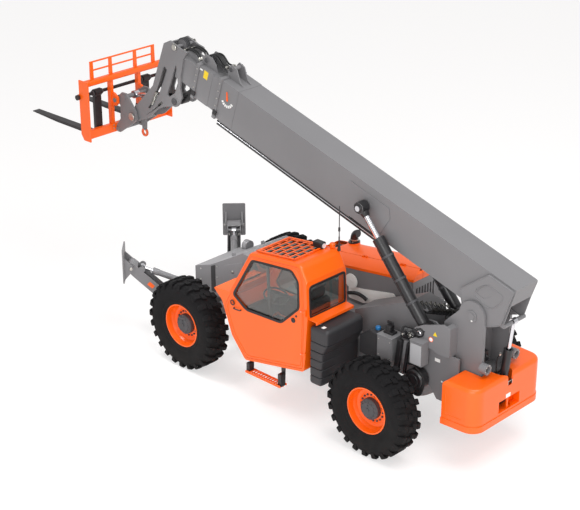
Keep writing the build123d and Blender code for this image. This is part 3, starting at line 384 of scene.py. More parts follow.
def piece(name, shape, made, body, bevel=0.0, segments=2):
    """Makes a mesh of a shape, closes its normals, and sets it riding on a CAD body."""
    points, faces = shape
    mesh = bpy.data.meshes.new(name)
    mesh.from_pydata(np.asarray(points, float).tolist(), [], faces)
    work = bmesh.new()
    work.from_mesh(mesh)
    bmesh.ops.remove_doubles(work, verts=work.verts, dist=1e-6)
    bmesh.ops.recalc_face_normals(work, faces=work.faces)
    work.to_mesh(mesh)
    work.free()
    mesh.polygons.foreach_set("use_smooth", np.ones(len(mesh.polygons), bool))
    mesh.set_sharp_from_angle(angle=radians(32))
    mesh.materials.append(made)
    thing = bpy.data.objects.new(name, mesh)
    bpy.context.collection.objects.link(thing)
    if bevel:
        edge = thing.modifiers.new("edges", "BEVEL")
        edge.width, edge.segments, edge.limit_method = bevel, segments, "ANGLE"
        edge.angle_limit = radians(35)
    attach(thing, body)
    return thing


# ------------------------------------------------------------------ camera, light and floor
LENS_MM, SENSOR_MM = 95.502, 36.0
CAMERA_PLACE = at(-13.080, 14.389, 10.697)
CAMERA_YAW, CAMERA_DIP, CAMERA_ROLL = -46.06, 24.26, -0.15      # degrees

view_along = np.array([cos(radians(CAMERA_YAW)) * cos(radians(CAMERA_DIP)),
                       sin(radians(CAMERA_YAW)) * cos(radians(CAMERA_DIP)),
                       -sin(radians(CAMERA_DIP))])
view_right = unit(np.cross(view_along, UP))
view_up = np.cross(view_right, view_along)
lens = bpy.data.cameras.new("camera")
lens.sensor_width, lens.lens = SENSOR_MM, LENS_MM
lens.clip_end = 200.0
camera = bpy.data.objects.new("camera", lens)
camera.matrix_world = (Matrix.Translation(Vector(CAMERA_PLACE))
                       @ Matrix(np.stack([view_right, view_up, -view_along], -1).tolist()).to_4x4()
                       @ Matrix.Rotation(radians(CAMERA_ROLL), 4, "Z"))
bpy.context.collection.objects.link(camera)
bpy.context.scene.camera = camera
bpy.context.scene.view_settings.view_transform = "Standard"


def lamp(name, place, aim, size, watts, spread=180):
    """Square soft lamp shining from a place towards another."""
    data = bpy.data.lights.new(name, "AREA")
    data.size, data.energy, data.spread = size, watts, radians(spread)
    holder = bpy.data.objects.new(name, data)
    holder.location = place
    holder.rotation_mode = "QUATERNION"
    holder.rotation_quaternion = Vector(aim - place).to_track_quat("-Z", "Y")
    bpy.context.collection.objects.link(holder)


# the key hangs high over the left rear, the side lamp fills the flank, and the small front
# lamp lights the sloped housing between the boom and the front wheel
lamp("key", at(-6.0, 1.0, 15.0), at(0, 0, 1.5), 9.0, 1250)
lamp("side", at(-9.0, 12.0, 7.0), at(0, 0, 1.2), 7.0, 900)
lamp("front", at(2.8, 1.6, 4.2), at(1.9, 0.3, 1.2), 1.6, 17, 55)

world = bpy.data.worlds.new("studio")
world.use_nodes = True
sky = world.node_tree
sky.nodes.clear()
shell = add(sky, "Background", {"Color": linear("FFFFFF"), "Strength": 0.72})
add(sky, "OutputWorld", {"Surface": shell.outputs["Background"]})
bpy.context.scene.world = world

FLOOR_SPAN, FLOOR_DROP = 120.0, 0.0005
floor_points = np.append(oblong(FLOOR_SPAN, FLOOR_SPAN), np.full((4, 1), -FLOOR_DROP), 1)
floor_mesh = bpy.data.meshes.new("floor")
floor_mesh.from_pydata(floor_points.tolist(), [], [[0, 1, 2, 3]])
floor = bpy.data.objects.new("floor", floor_mesh)
# seamless white studio floor, matt: half of what is seen of it is its own even white, so it
# keeps a soft shadow
studio_floor = finish("studio floor", "FFFDFC", "FFFBFA", 6.0, (0.8, 0.9), 0.05, 0.0)
cloth = studio_floor.node_tree
floor_end = cloth.nodes["Material Output"]
lit = floor_end.inputs["Surface"].links[0].from_socket
ray = add(cloth, "LightPath")
seen = add(cloth, "Math", {0: ray.outputs["Is Camera Ray"], 1: ray.outputs["Is Transmission Ray"]},
           operation="MAXIMUM")
share = add(cloth, "Math", {0: seen.outputs["Value"], 1: 0.5}, operation="MULTIPLY")
bright = add(cloth, "Emission", {"Color": linear("FFFFFF"), "Strength": 1.1})
even = add(cloth, "MixShader", {0: share.outputs["Value"], 1: lit, 2: bright.outputs["Emission"]})
cloth.links.new(even.outputs["Shader"], floor_end.inputs["Surface"])
floor_mesh.materials.append(studio_floor)
bpy.context.collection.objects.link(floor)

# ------------------------------------------------------------------ tyres
TYRE_R, LUGS, TYRE_STEPS = 0.675, 24, 96
# one half of the carcass from the bead to the crown: radius, distance from the middle
CARCASS = np.array([(0.322, 0.140), (0.340, 0.149), (0.362, 0.160), (0.380, 0.166),
                    (0.392, 0.164), (0.420, 0.176), (0.470, 0.184), (0.520, 0.184),
                    (0.570, 0.178), (0.606, 0.166), (0.626, 0.146), (0.637, 0.100),
                    (0.640, 0.050)])
# stations along the outer and the inner block of a lug, from the sidewall to the middle:
# radius of its top, distance from the middle, way round the tyre, half width, depth
OUTER_BLOCK = np.array([(0.580, 0.186, 0.000, 0.028, 0.010), (0.622, 0.1855, 0.000, 0.033, 0.020),
                        (0.654, 0.178, 0.000, 0.037, 0.028), (0.670, 0.160, 0.004, 0.039, 0.032),
                        (0.6735, 0.125, 0.010, 0.039, 0.034), (0.6745, 0.094, 0.018, 0.037, 0.035)])
INNER_BLOCK = np.array([(0.6745, 0.082, 0.040, 0.036, 0.036), (0.6745, 0.046, 0.052, 0.038, 0.036),
                        (0.6745, 0.006, 0.066, 0.034, 0.036)])


def tread_row(run, half, first):
    """One row of blocks: at each station a cross-section with a wide foot and a narrower top.

    A point lies at radius * (cos t, sin t) round the wheel's axis, where t is the block's own
    angle plus the way round divided by the radius.
    """
    top, across, way, wide, deep = run.T
    foot = top - deep
    radius = np.stack([foot, top, top, foot], -1)
    depth = np.stack([across - 0.006, across, across, across - 0.006], -1) * half
    width = np.stack([-wide - 0.006, -wide, wide, wide + 0.006], -1)
    angle = (way[:, None] + width) / TYRE_R
    turn = first + np.linspace(0, 2 * np.pi, LUGS, endpoint=False)
    t = turn[:, None, None] + angle * half
    radius, depth = np.broadcast_to(radius, t.shape), np.broadcast_to(depth, t.shape)
    points = np.stack([radius * np.cos(t), depth, radius * np.sin(t)], -1)
    one = quads(len(run), 4) + end_faces(len(run), 4)
    starts = np.arange(LUGS) * 4 * len(run)
    faces = [[i + start for i in face] for start in starts.tolist() for face in one]
    return points.reshape(-1, 3), faces


def tyre_shape():
    """Carcass spun about the axle, with the lugs of its two halves half a pitch apart."""
    mirrored = CARCASS[::-1] * (1, -1)
    bore = np.array([(0.310, -0.138), (0.310, 0.138)])
    ring = np.concatenate([CARCASS, mirrored, bore])
    t = np.linspace(0, 2 * np.pi, TYRE_STEPS, endpoint=False)
    depth = np.broadcast_to(ring[:, 1:], (len(ring), TYRE_STEPS))
    points = np.stack([ring[:, :1] * np.cos(t), depth, ring[:, :1] * np.sin(t)], -1)
    faces = quads(len(ring), TYRE_STEPS) + ring_back(len(ring), TYRE_STEPS)
    rows = [tread_row(run, half, first) for run in (OUTER_BLOCK, INNER_BLOCK)
            for half, first in ((1, 0.0), (-1, np.pi / LUGS))]
    return joined((points.reshape(-1, 3), faces), *rows)


whole_tyre = tyre_shape()
for corner in CORNERS:
    centre = middle("tyre_" + corner)
    body = "wheel_" + corner
    tyre = piece("tread_" + corner, repeated(whole_tyre, [centre]), tyre_rubber, body,
                 bevel=0.004, segments=1)
    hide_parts("tyre_" + corner)
    axle = LEFT if corner.endswith("l") else -LEFT
    face = centre + axle * 0.106
    # planetary hub cover with its ring of bolts, drain plug and wheel nuts
    cover = joined(
        spun([(0.148, -0.083), (0.1485, -0.020), (0.122, 0.0015), (0.108, 0.004),
              (0.100, 0.012), (0.030, 0.014), (0.028, 0.022), (0.012, 0.023)], face, axle, 48),
        bolts(circle_of(face + axle * 0.002, axle, 0.112, 12), axle, 0.008, 0.008),
        bolts([face + axle * 0.014 + UP * 0.07], axle, 0.012, 0.009))
    piece("hub_" + corner, cover, cast_iron, body)
    piece("wheel_nuts_" + corner,
          bolts(circle_of(centre + axle * 0.012, axle, 0.185, 18, 0.3), axle, 0.014, 0.024),
          cast_iron, body)


# ------------------------------------------------------------------ small shared pieces
def pipes(paths, radius, steps=10, per=8):
    """Hoses or bent rods through lists of points."""
    return joined(*[tube(curved(path, per), radius, steps) for path in paths])


def bar(a, b, radius, steps=14):
    """Straight round bar between two points."""
    return tube(np.array([a, b]), radius, steps)


def turned(centre, axis, length, radius, edge=0.004, steps=28):
    """Round pin or cap along an axis from a centre, with broken edges at both ends."""
    return spun([(radius - edge, 0), (radius, edge), (radius, length - edge),
                 (radius - edge, length)], centre, axis, steps)


def torus(centre, axis, radius, thick, steps=40, round_steps=10):
    """Ring of round section."""
    return tube(circle_of(centre, axis, radius, steps), thick, round_steps, closed=True)


def fittings(path, radius):
    """Swaged ferrule and nut at both ends of a hose, along its own first and last spans."""
    shapes = []
    for end, near in ((path[0], path[1]), (path[-1], path[-2])):
        end, near = np.asarray(end, float), np.asarray(near, float)
        ahead = unit(near - end)
        shapes.append(turned(end, ahead, 3.2 * radius, radius * 1.35, radius * 0.2, 14))
        shapes.append(spun([(radius * 1.75, 0), (radius * 1.75, radius * 1.3)], end, ahead, 6))
    return joined(*shapes)


def hoses(name, paths, radius, body, plating=None):
    """Pressure hoses through points, with plated fittings at their ends."""
    piece(name, pipes(paths, radius), hose_rubber, body)
    piece(name + "_fittings", joined(*[fittings(path, radius) for path in paths]),
          plating or zinc_plate, body)


# ------------------------------------------------------------------ cab
# outlines of (x, z): the door's window, the right-hand window and the door's own edge
side_window = np.array([(0.719, 1.518), (0.336, 2.150), (-0.400, 2.226), (-0.520, 2.100),
                        (-0.534, 1.714), (-0.201, 1.391), (0.467, 1.358)])
near_window = np.array([(0.640, 1.470), (0.330, 2.080), (-0.450, 2.180), (-0.560, 2.080),
                        (-0.560, 1.500), (-0.480, 1.400), (0.560, 1.380)])
door_edge = np.array([(-0.590, 0.838), (0.470, 0.622), (0.718, 0.885), (0.880, 1.300),
                      (0.775, 1.490), (0.362, 2.190), (-0.520, 2.300), (-0.598, 2.130),
                      (-0.615, 1.600)])
DOOR_SKIN = at(0, 1.201, 0)                                 # just proud of the door's face


def seal(name, outline, origin, along, up, body, width=0.036, thick=0.014):
    """Rubber glazing seal over the edge of an opening, 12 mm outside it and the rest inside."""
    grown = inset(rounded(outline, 0.055, 7), -0.012)
    piece(name, band(grown, origin, along, up, width, thick), hose_rubber, body,
          bevel=0.003, segments=1)


seal("seal_door", side_window, DOOR_SKIN, FORWARD, UP, "door")
# pressed rib round the door skin, 22 mm inside its edge
piece("door_rib", band(rounded(inset(door_edge, 0.022), 0.060, 7), DOOR_SKIN, FORWARD, UP, 0.013,
                       0.011), orange_enamel, "door", bevel=0.003)
seal("seal_near", near_window, at(0, 0.4305, 0), FORWARD, UP, "chassis")
# windscreen, rear window: centre of the outer face, lean in degrees, width, height
for name, x, y, z, lean, wide, tall in (("front", 0.5765, 0.815, 1.8888, 30.5, 0.640, 0.600),
                                        ("rear", -0.6765, 0.800, 1.8287, -2.1, 0.690, 0.450)):
    up = np.array([-sin(radians(lean)), 0, cos(radians(lean))])
    seal("seal_" + name, oblong(wide, tall), at(x, y, z), LEFT, up, "chassis")

# door furniture: ring handle with its bar, lock barrel, latch button and hinge bolts
piece("door_handle",
      joined(torus(at(0.721, 1.214, 1.39), LEFT, 0.034, 0.008),
             pipes([[at(0.694, 1.202, 1.315), at(0.690, 1.226, 1.316), at(0.630, 1.230, 1.318),
                     at(0.570, 1.226, 1.320), at(0.566, 1.202, 1.320)]], 0.009)),
      black_enamel, "door")
piece("door_lock",
      joined(turned(at(-0.484, 1.199, 1.588), LEFT, 0.014, 0.016),
             spun([(0.036, 0), (0.036, 0.010), (0.030, 0.014), (0.016, 0.014), (0.012, 0.006)],
                  at(-0.429, 1.199, 1.510), LEFT, 32)),
      black_enamel, "door")
piece("door_hinge_bolts", bolts([at(-0.574, 1.2083, z) for z in (1.056, 1.686)], LEFT, 0.008,
                                0.006), zinc_plate, "door")

# interior: suspension seat, console with its levers, column with the wheel, mat and pole
SEAT_Y, SEAT_HALF = 0.825, 0.225


def cushion(points, half, crown, columns=30):
    """Padded form: a section in side view swept over its width, from t = -1 to t = 1.

    At each t the section's points stand out from their middle by
    (1 - |t|^8)^(1/4) * (1 + crown * (1 - t^4)), less a stitched valley at 64 % of the half
    width, so that the ends close on a rounded edge.
    """
    around = np.array([(x, 0.0, z) for x, z in points])
    section = curved(np.concatenate([around, around[:1]]), 6)[:-1, ::2]
    centre = section.mean(0)
    t = np.linspace(-1, 1, columns)
    close = (1 - np.abs(t) ** 8) ** 0.25
    seam = 0.012 * np.exp(-((np.abs(t) - 0.64) / 0.03) ** 2)
    swell = close * (1 + crown * (1 - t ** 4)) - seam / 0.15
    out = section - centre
    flat = centre + out * np.maximum(swell, 0.02)[:, None, None]
    y = np.broadcast_to((SEAT_Y + t * half)[:, None], flat.shape[:2])
    skin = np.stack([flat[..., 0] + MID_X, y, flat[..., 1]], -1)
    faces = quads(columns, len(section)) + end_faces(columns, len(section))
    return skin.reshape(-1, 3), faces


seat_pan = [(-0.530, 1.210), (-0.420, 1.190), (-0.250, 1.190), (-0.120, 1.205), (-0.086, 1.270),
            (-0.130, 1.335), (-0.240, 1.352), (-0.400, 1.340), (-0.520, 1.320), (-0.548, 1.260)]
seat_back = [(-0.460, 1.360), (-0.450, 1.450), (-0.462, 1.550), (-0.476, 1.660), (-0.496, 1.715),
             (-0.530, 1.730), (-0.566, 1.700), (-0.572, 1.600), (-0.566, 1.440),
             (-0.540, 1.345), (-0.500, 1.330)]
head_rest = [(-0.488, 1.760), (-0.486, 1.830), (-0.502, 1.880), (-0.534, 1.890), (-0.556, 1.850),
             (-0.554, 1.780), (-0.522, 1.742)]
for name, outline, half in (("seat_cushion", seat_pan, SEAT_HALF),
                            ("seat_backrest", seat_back, SEAT_HALF), ("head_rest", head_rest, 0.12)):
    pad = piece(name, cushion(outline, half, 0.03), seat_vinyl, "chassis")
# seat plinth and slide, side console with its cover, arm rests and pedal box
interior = joined(
    box_at(-0.33, 0.82, 1.035, 0.34, 0.34, 0.06), box_at(-0.33, 0.82, 1.150, 0.40, 0.38, 0.05),
    box_at(-0.10, 0.535, 1.150, 0.70, 0.11, 0.30), box_at(-0.10, 0.535, 1.36, 0.66, 0.10, 0.12),
    box_at(-0.33, 0.58, 1.315, 0.30, 0.05, 0.04), box_at(-0.33, 1.065, 1.315, 0.30, 0.05, 0.04),
    box_at(0.44, 0.82, 1.05, 0.13, 0.15, 0.10))
piece("cab_fittings", interior, moulded_plastic, "chassis", bevel=0.012,
      segments=3)
bellows = np.array([(0.13 + 0.012 * (i % 2), 0.010 * i) for i in range(7)])
column_up = unit(np.array([-0.35, 0, 0.94]))
wheel_hub = at(0.262, 0.82, 1.490)
rim_middle = wheel_hub + column_up * 0.012
rim_across, rim_other = sides_of(column_up)
spokes = [bar(wheel_hub + column_up * 0.004,
              rim_middle + 0.170 * (cos(a) * rim_across + sin(a) * rim_other), 0.011)
          for a in (radians(90), radians(210), radians(330))]
# wheel with its knob, tapered column, the seat's bellows and the head rest's two rods
steering = joined(
    torus(rim_middle, column_up, 0.175, 0.0135, 56),
    turned(wheel_hub - column_up * 0.02, column_up, 0.045, 0.042, 0.01), *spokes,
    spun([(0.052, 0), (0.046, 0.05), (0.036, 0.20), (0.036, 0.44)], at(0.430, 0.82, 1.050),
         column_up, 28),
    turned(wheel_hub + column_up * 0.022 + 0.15 * rim_other, column_up, 0.045, 0.019, 0.008),
    spun(bellows, at(-0.33, 0.82, 1.062), UP, 4),
    *[bar(at(-0.520, SEAT_Y + y, 1.700), at(-0.522, SEAT_Y + y, 1.790), 0.008)
      for y in (-0.06, 0.06)])
wheel = piece("steering", steering, moulded_plastic, "chassis")
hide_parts("cab_interior")
# joystick and two short levers on the console
SHORT_LEVERS = (0.00, -0.06)
levers = joined(
    pipes([[at(0.10, 0.535, 1.42), at(0.11, 0.535, 1.50), at(0.13, 0.54, 1.56)]], 0.009),
    turned(at(0.127, 0.54, 1.55), column_up + FORWARD * 0.6, 0.11, 0.022, 0.012),
    pipes([[at(x, 0.535, 1.42), at(x, 0.535, 1.50)] for x in SHORT_LEVERS], 0.006),
    *[turned(at(x, 0.535, 1.49), UP, 0.05, 0.014, 0.008) for x in SHORT_LEVERS])
piece("control_levers", levers, black_enamel, "chassis")
# grab pole from the floor to the roof, with its clamp
piece("grab_pole", joined(bar(at(0.137, 1.06, 1.012), at(0.184, 1.06, 2.170), 0.022),
                          box_at(0.182, 1.06, 2.090, 0.07, 0.06, 0.10)),
      black_enamel, "chassis")
# ribbed floor mat
piece("floor_mat", joined(box_at(0.05, 0.80, 1.006, 1.10, 0.60, 0.008),
                          *[box_at(x, 0.80, 1.0115, 0.018, 0.56, 0.004)
                            for x in np.arange(-0.44, 0.56, 0.05)]),
      hose_rubber, "chassis")

# dark trim over the lower walls and the dash
piece("cab_trim", joined(side_plate([(-0.590, 1.010), (0.515, 1.010), (0.680, 1.085), (0.770, 1.330),
                                     (0.560, 1.355), (-0.475, 1.375), (-0.590, 1.480)], 0.4655,
                                    0.006),
                         box_at(0.575, 0.80, 1.185, 0.10, 0.62, 0.24)),
      moulded_plastic, "chassis", bevel=0.004)

# roof: knob, and the boxed work lamp that looks to the rear
piece("roof_knob", turned(at(-0.454, 0.470, 2.335), UP, 0.075, 0.040, 0.014), orange_enamel,
      "chassis")
piece("roof_box", box_at(-0.30, 0.56, 2.372, 0.16, 0.10, 0.085), black_enamel, "chassis",
      bevel=0.012, segments=3)
piece("rear_lamp", spun([(0.030, -0.058), (0.034, -0.060), (0.034, -0.052)],
                        at(-0.330, 0.56, 2.372), FORWARD, 24), lamp_lens, "chassis")

# slender post with its knobs, on the roof's rear right corner
piece("roof_post", joined(spun([(0.024, 0), (0.020, 0.05), (0.010, 0.10), (0.010, 0.20)],
                               at(-0.560, 0.455, 2.325), UP, 20),
                          bar(at(-0.560, 0.455, 2.50), at(-0.560, 0.455, 2.96), 0.0065),
                          turned(at(-0.560, 0.455, 2.60), UP, 0.06, 0.015, 0.006)),
      black_enamel, "chassis")

# roof guard: rim, cross bars and staggered short bars, on the roof's fall
GUARD_FALL = radians(7.1)
guard_along = np.array([cos(GUARD_FALL), 0, -sin(GUARD_FALL)])
guard_up = np.array([sin(GUARD_FALL), 0, cos(GUARD_FALL)])


def on_guard(x, y, z, length, width, height):
    """Box in the guard's own plane, by its centre and sizes."""
    origin = at(-0.010, 0.790, 2.299) + x * guard_along + y * LEFT + z * guard_up
    return prism(oblong(length, height), origin, guard_along, guard_up, width)


# full-width bars, the rim's four sides, then short bars staggered from row to row
guard_bars = [on_guard(x, 0, 0, 0.016, 0.636, 0.012) for x in np.linspace(-0.232, 0.232, 5)]
guard_bars += [on_guard(x, 0, 0, 0.030, 0.640, 0.014) for x in (-0.345, 0.345)]
guard_bars += [on_guard(0, y, 0, 0.720, 0.030, 0.014) for y in (-0.305, 0.305)]
for row in range(6):
    shift = 0.036 if row % 2 else -0.036
    guard_bars += [on_guard(-0.290 + 0.116 * row, shift + y, 0, 0.104, 0.016, 0.010)
                   for y in (-0.216, -0.072, 0.072, 0.216)]
piece("roof_tint", on_guard(0, 0, -0.020, 0.640, 0.570, 0.003), smoked_glass, "chassis")
guard = piece("roof_bars", joined(*guard_bars), orange_enamel, "chassis",
              bevel=0.003, segments=1)
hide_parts("roof_guard")

# ------------------------------------------------------------------ tank and step
TANK_LOW, TANK_HIGH, TANK_FRONT = 0.66, 1.53, -0.704
TANK_Y, TANK_HALF, TANK_POWER = 0.8225, 0.3675, 9
# the back's (z, x), which steps rearward over the wheel
TANK_BACK = np.array([(0.660, -0.925), (1.150, -0.950), (1.320, -1.034), (1.530, -1.034)])


def tank_shape(grooves, depth=0.016, fillet=0.055, steps=132):
    """Moulded tank: plan sections stacked in Z, each |x/a|^n + |y/b|^n = 1, n = TANK_POWER.

    The back follows TANK_BACK; both ends of the stack are set in by a quarter circle, and on
    the outer side every groove takes depth * exp(-((z - groove) / 7 mm)^2) off the section.
    """
    rim = fillet * (1 - np.cos(np.linspace(0, np.pi / 2, 9)))
    z = np.unique(np.concatenate([TANK_LOW + rim,
                                  np.linspace(TANK_LOW + fillet, TANK_HIGH - fillet, 150),
                                  TANK_HIGH - rim]))
    near = np.clip(np.minimum(z - TANK_LOW, TANK_HIGH - z) / fillet, 0, 1)
    gap = fillet * (1 - np.sqrt(np.clip(1 - (1 - near) ** 2, 0, 1)))
    t = np.linspace(0, 2 * np.pi, steps, endpoint=False)
    c = np.sign(np.cos(t)) * np.abs(np.cos(t)) ** (2 / TANK_POWER)
    s = np.sign(np.sin(t)) * np.abs(np.sin(t)) ** (2 / TANK_POWER)
    notch = sum(depth * np.exp(-((z - level) / 0.007) ** 2) for level in grooves)
    outer = np.clip((s - 0.25) / 0.2, 0, 1)                 # 0 on the inner side, 1 outside
    inset_by = gap[:, None] + notch[:, None] * outer
    back = np.interp(z, TANK_BACK[:, 0], TANK_BACK[:, 1])[:, None]
    x = MID_X + (back + TANK_FRONT) / 2 + ((TANK_FRONT - back) / 2 - inset_by) * c
    y = TANK_Y + (TANK_HALF - inset_by) * s
    points = np.stack([x, y, np.broadcast_to(z[:, None], x.shape)], -1)
    return points.reshape(-1, 3), quads(len(z), steps) + end_faces(len(z), steps)


tank_body = piece("tank_body", tank_shape((0.80, 0.925, 1.05, 1.175, 1.31)), moulded_plastic,
                  "chassis")
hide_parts("tank")
cap_grips = [bar(p, p + UP * 0.020, 0.004, 6)
             for p in circle_of(at(-0.800, 1.080, 1.532), UP, 0.040, 18)]
piece("tank_cap", joined(turned(at(-0.800, 1.080, 1.522), UP, 0.034, 0.040, 0.006), *cap_grips),
      black_enamel, "chassis")
piece("tank_label", box_at(-0.900, 1.110, 1.5308, 0.050, 0.060, PLATE), white_plate, "chassis")

# shelf above the tank, and the serrated step below the door on its brackets
shelf = piece("shelf", side_plate([(-0.690, 1.612), (-0.690, 1.600), (-0.816, 1.588),
                                   (-0.816, 1.556), (-0.828, 1.556), (-0.828, 1.599)],
                                  0.810, 0.740), orange_enamel, "chassis",
              bevel=0.004)
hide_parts("cab_steps")
teeth = [box_at(x, 1.170, 0.424, 0.022, 0.116, 0.012) for x in np.arange(-0.17, 0.45, 0.047)]
piece("step_tread", joined(box_at(0.13, 1.108, 0.418, 0.68, 0.010, 0.034),
                           box_at(0.13, 1.230, 0.418, 0.68, 0.010, 0.034),
                           box_at(0.13, 1.169, 0.404, 0.68, 0.020, 0.006), *teeth),
      orange_enamel, "chassis", bevel=0.002, segments=1)
piece("step_brackets",
      joined(side_plate([(-0.200, 0.405), (-0.140, 0.405), (-0.130, 0.700), (-0.210, 0.716)],
                        1.125, 0.012),
             side_plate([(0.410, 0.405), (0.470, 0.405), (0.475, 0.583), (0.400, 0.598)],
                        1.125, 0.012),
             box_at(-0.170, 1.165, 0.500, 0.06, 0.09, 0.19),
             box_at(0.440, 1.165, 0.475, 0.06, 0.09, 0.14)),
      black_enamel, "chassis", bevel=0.004)

# ------------------------------------------------------------------ left rear deck
# black reservoir with its blue cap, ahead of the valve box
piece("reservoir", side_plate(rounded([(-1.060, 1.030), (-1.375, 1.030), (-1.375, 1.405),
                                       (-1.240, 1.425), (-1.060, 1.300)], 0.02, 4), 0.500, 0.17),
      moulded_plastic, "chassis", bevel=0.012, segments=3)
piece("reservoir_cap", turned(at(-1.300, 0.485, 1.412), UP, 0.055, 0.036, 0.012), blue_cap,
      "chassis")
piece("reservoir_neck", turned(at(-1.300, 0.485, 1.400), UP, 0.018, 0.050, 0.006), black_enamel,
      "chassis")
# lids and door plates of the two boxes, with their screws
piece("box_plates",
      joined(box_at(-1.510, 0.480, 1.424, 0.262, 0.252, 0.012),
             box_at(-1.510, 0.603, 1.255, 0.215, 0.006, 0.260),
             box_at(-2.040, 0.533, 1.534, 0.212, 0.146, 0.012)),
      grey_enamel, "chassis", bevel=0.004)
piece("box_door", box_at(-2.040, 0.604, 1.355, 0.180, 0.008, 0.290), pale_enamel, "chassis",
      bevel=0.004)
box_screws = [at(x, 0.6065, z) for x in (-1.604, -1.416) for z in (1.14, 1.37)]
box_screws += [at(x, 0.6085, z) for x in (-2.118, -1.962) for z in (1.225, 1.485)]
piece("box_screws", bolts(box_screws, LEFT, 0.007, 0.005), zinc_plate, "chassis")
# bracket and connector standing on the first box
piece("box_connector",
      joined(box_at(-1.500, 0.470, 1.446, 0.16, 0.11, 0.034),
             box_at(-1.490, 0.470, 1.500, 0.09, 0.09, 0.090),
             box_at(-1.475, 0.440, 1.560, 0.11, 0.02, 0.050)),
      black_enamel, "chassis", bevel=0.010, segments=3)
# upright channel and guard strip between the boxes, leaning back a little
channel_across, channel_up = unit(np.array([[1.0, 0, 0.13], [-0.13, 0, 1.0]]))
piece("deck_channels",
      joined(prism(oblong(0.070, 0.50, 0, 0.25), at(-1.690, 0.560, 0.960), channel_across,
                   channel_up, 0.06),
             prism(oblong(0.032, 0.46, 0, 0.23), at(-1.830, 0.560, 1.000), channel_across,
                   channel_up, 0.05)),
      black_enamel, "chassis", bevel=0.006)
# valve motor ahead of the lift pin: ribbed body, end flanges and plugs
motor = [(0.030, 0), (0.052, 0.004), (0.052, 0.030), (0.044, 0.034)]
motor += [(0.044 + 0.006 * (i % 2), 0.040 + 0.010 * i) for i in range(14)]
motor += [(0.062, 0.190), (0.066, 0.196), (0.066, 0.232), (0.058, 0.238), (0.058, 0.286),
          (0.048, 0.296), (0.020, 0.298)]
piece("valve_motor",
      joined(spun(motor, at(-1.700, 0.450, 1.545), unit(np.array([-1.0, 0, 0.10])), 32),
             turned(at(-1.780, 0.450, 1.545), LEFT, 0.11, 0.034, 0.008),
             turned(at(-1.900, 0.450, 1.565), LEFT, 0.10, 0.052, 0.010),
             box_at(-1.800, 0.440, 1.480, 0.22, 0.10, 0.060)),
      black_enamel, "chassis")
piece("valve_plugs",
      joined(turned(at(-1.900, 0.550, 1.565), LEFT, 0.010, 0.020, 0.004),
             turned(at(-1.780, 0.560, 1.545), LEFT, 0.008, 0.016, 0.003),
             bolts(circle_of(at(-1.900, 0.550, 1.565), LEFT, 0.040, 6), LEFT, 0.006, 0.006)),
      zinc_plate, "chassis")
# filter can with the hoses bundled round it, inboard of the rear wheel
piece("deck_can", joined(turned(at(-2.000, 0.420, 0.955), LEFT, 0.17, 0.150, 0.020, 40),
                         torus(at(-2.000, 0.592, 0.955), LEFT, 0.075, 0.012)),
      black_enamel, "chassis")
bundle = []
for i in range(5):
    shift = 0.022 * i
    bundle.append([at(-1.86 + shift, 0.47, 1.17 - shift),
                   at(-2.00, 0.53 + 0.006 * i, 1.125 + 0.3 * shift),
                   at(-2.14 - 0.2 * shift, 0.56, 1.00), at(-2.13, 0.58, 0.88 - shift),
                   at(-2.00, 0.57, 0.80 - shift * 0.5), at(-1.86, 0.50, 0.83)])
hoses("deck_bundle", bundle, 0.011, "chassis", black_zinc)
# heads of the lift cylinders' base pins, chromed, in black rings on the tower's covers
TOWER_FACE, COVER_FACE = 0.400, 0.464
LIFT_BASE, LIFT_EYE, LIFT_Y = at(-2.000, 0, 1.610), at(-0.840, 0, 2.995), 0.335
for name, y_sign in SIDES:
    axle = LEFT * y_sign
    ring_foot = LIFT_BASE + axle * (COVER_FACE + 0.0002)
    piece("lift_pin_" + name, turned(LIFT_BASE + axle * 0.480, axle, 0.026, 0.036, 0.008),
          hard_chrome, "chassis")
    piece("lift_pin_ring_" + name,
          joined(spun([(0.040, 0), (0.062, 0), (0.062, 0.010), (0.044, 0.014), (0.040, 0.014)],
                      ring_foot, axle, 36),
                 bolts(circle_of(ring_foot, axle, 0.076, 3, 0.5), axle, 0.009, 0.008)),
          black_enamel, "chassis")

# blank plates and signs, each lying on its face
piece("plates_white",
      joined(box_at(-2.246, TOWER_FACE + PLATE / 2, 1.270, 0.085, PLATE, 0.048),
             box_at(-2.330, TOWER_FACE + PLATE / 2, 0.985, 0.022, PLATE, 0.022)),
      white_plate, "chassis")
piece("plate_yellow", side_plate([(-2.205, 1.640), (-2.275, 1.640), (-2.240, 1.700)],
                                 COVER_FACE + PLATE / 2, PLATE),
      amber_plate, "chassis")
sign_foot = at(-2.175, COVER_FACE + 0.0001, 1.570)
piece("plate_round", spun([(0.036, 0), (0.036, 0.0012)], sign_foot, LEFT, 28), orange_enamel,
      "chassis")
piece("plate_round_middle", spun([(0.027, 0), (0.027, 0.0010)], sign_foot + LEFT * 0.0012, LEFT,
                                 28), white_plate, "chassis")
piece("weight_label", box_at(-3.1225, 0.030, 0.945, PLATE, 0.095, 0.055), white_plate,
      "chassis")

# ------------------------------------------------------------------ hose loops under the boom
# on the chassis: eight loops that turn back below the boom's lowest reach
loops = []
for i, y in enumerate(np.linspace(0.192, 0.010, 8)):
    shift = 0.052 * i
    loops.append([at(-1.70 - shift, y, 1.880 - 0.008 * (i % 3)), at(-1.74 - shift, y, 1.830),
                  at(-1.81 - 0.9 * shift, y + 0.005, 1.775 - 0.008 * (i % 2)),
                  at(-1.92 - 0.8 * shift, y, 1.765), at(-1.98 - 0.7 * shift, y - 0.005, 1.800),
                  at(-2.00 - 0.7 * shift, y, 1.850)])
hoses("deck_loops", loops, 0.014, "chassis", black_zinc)
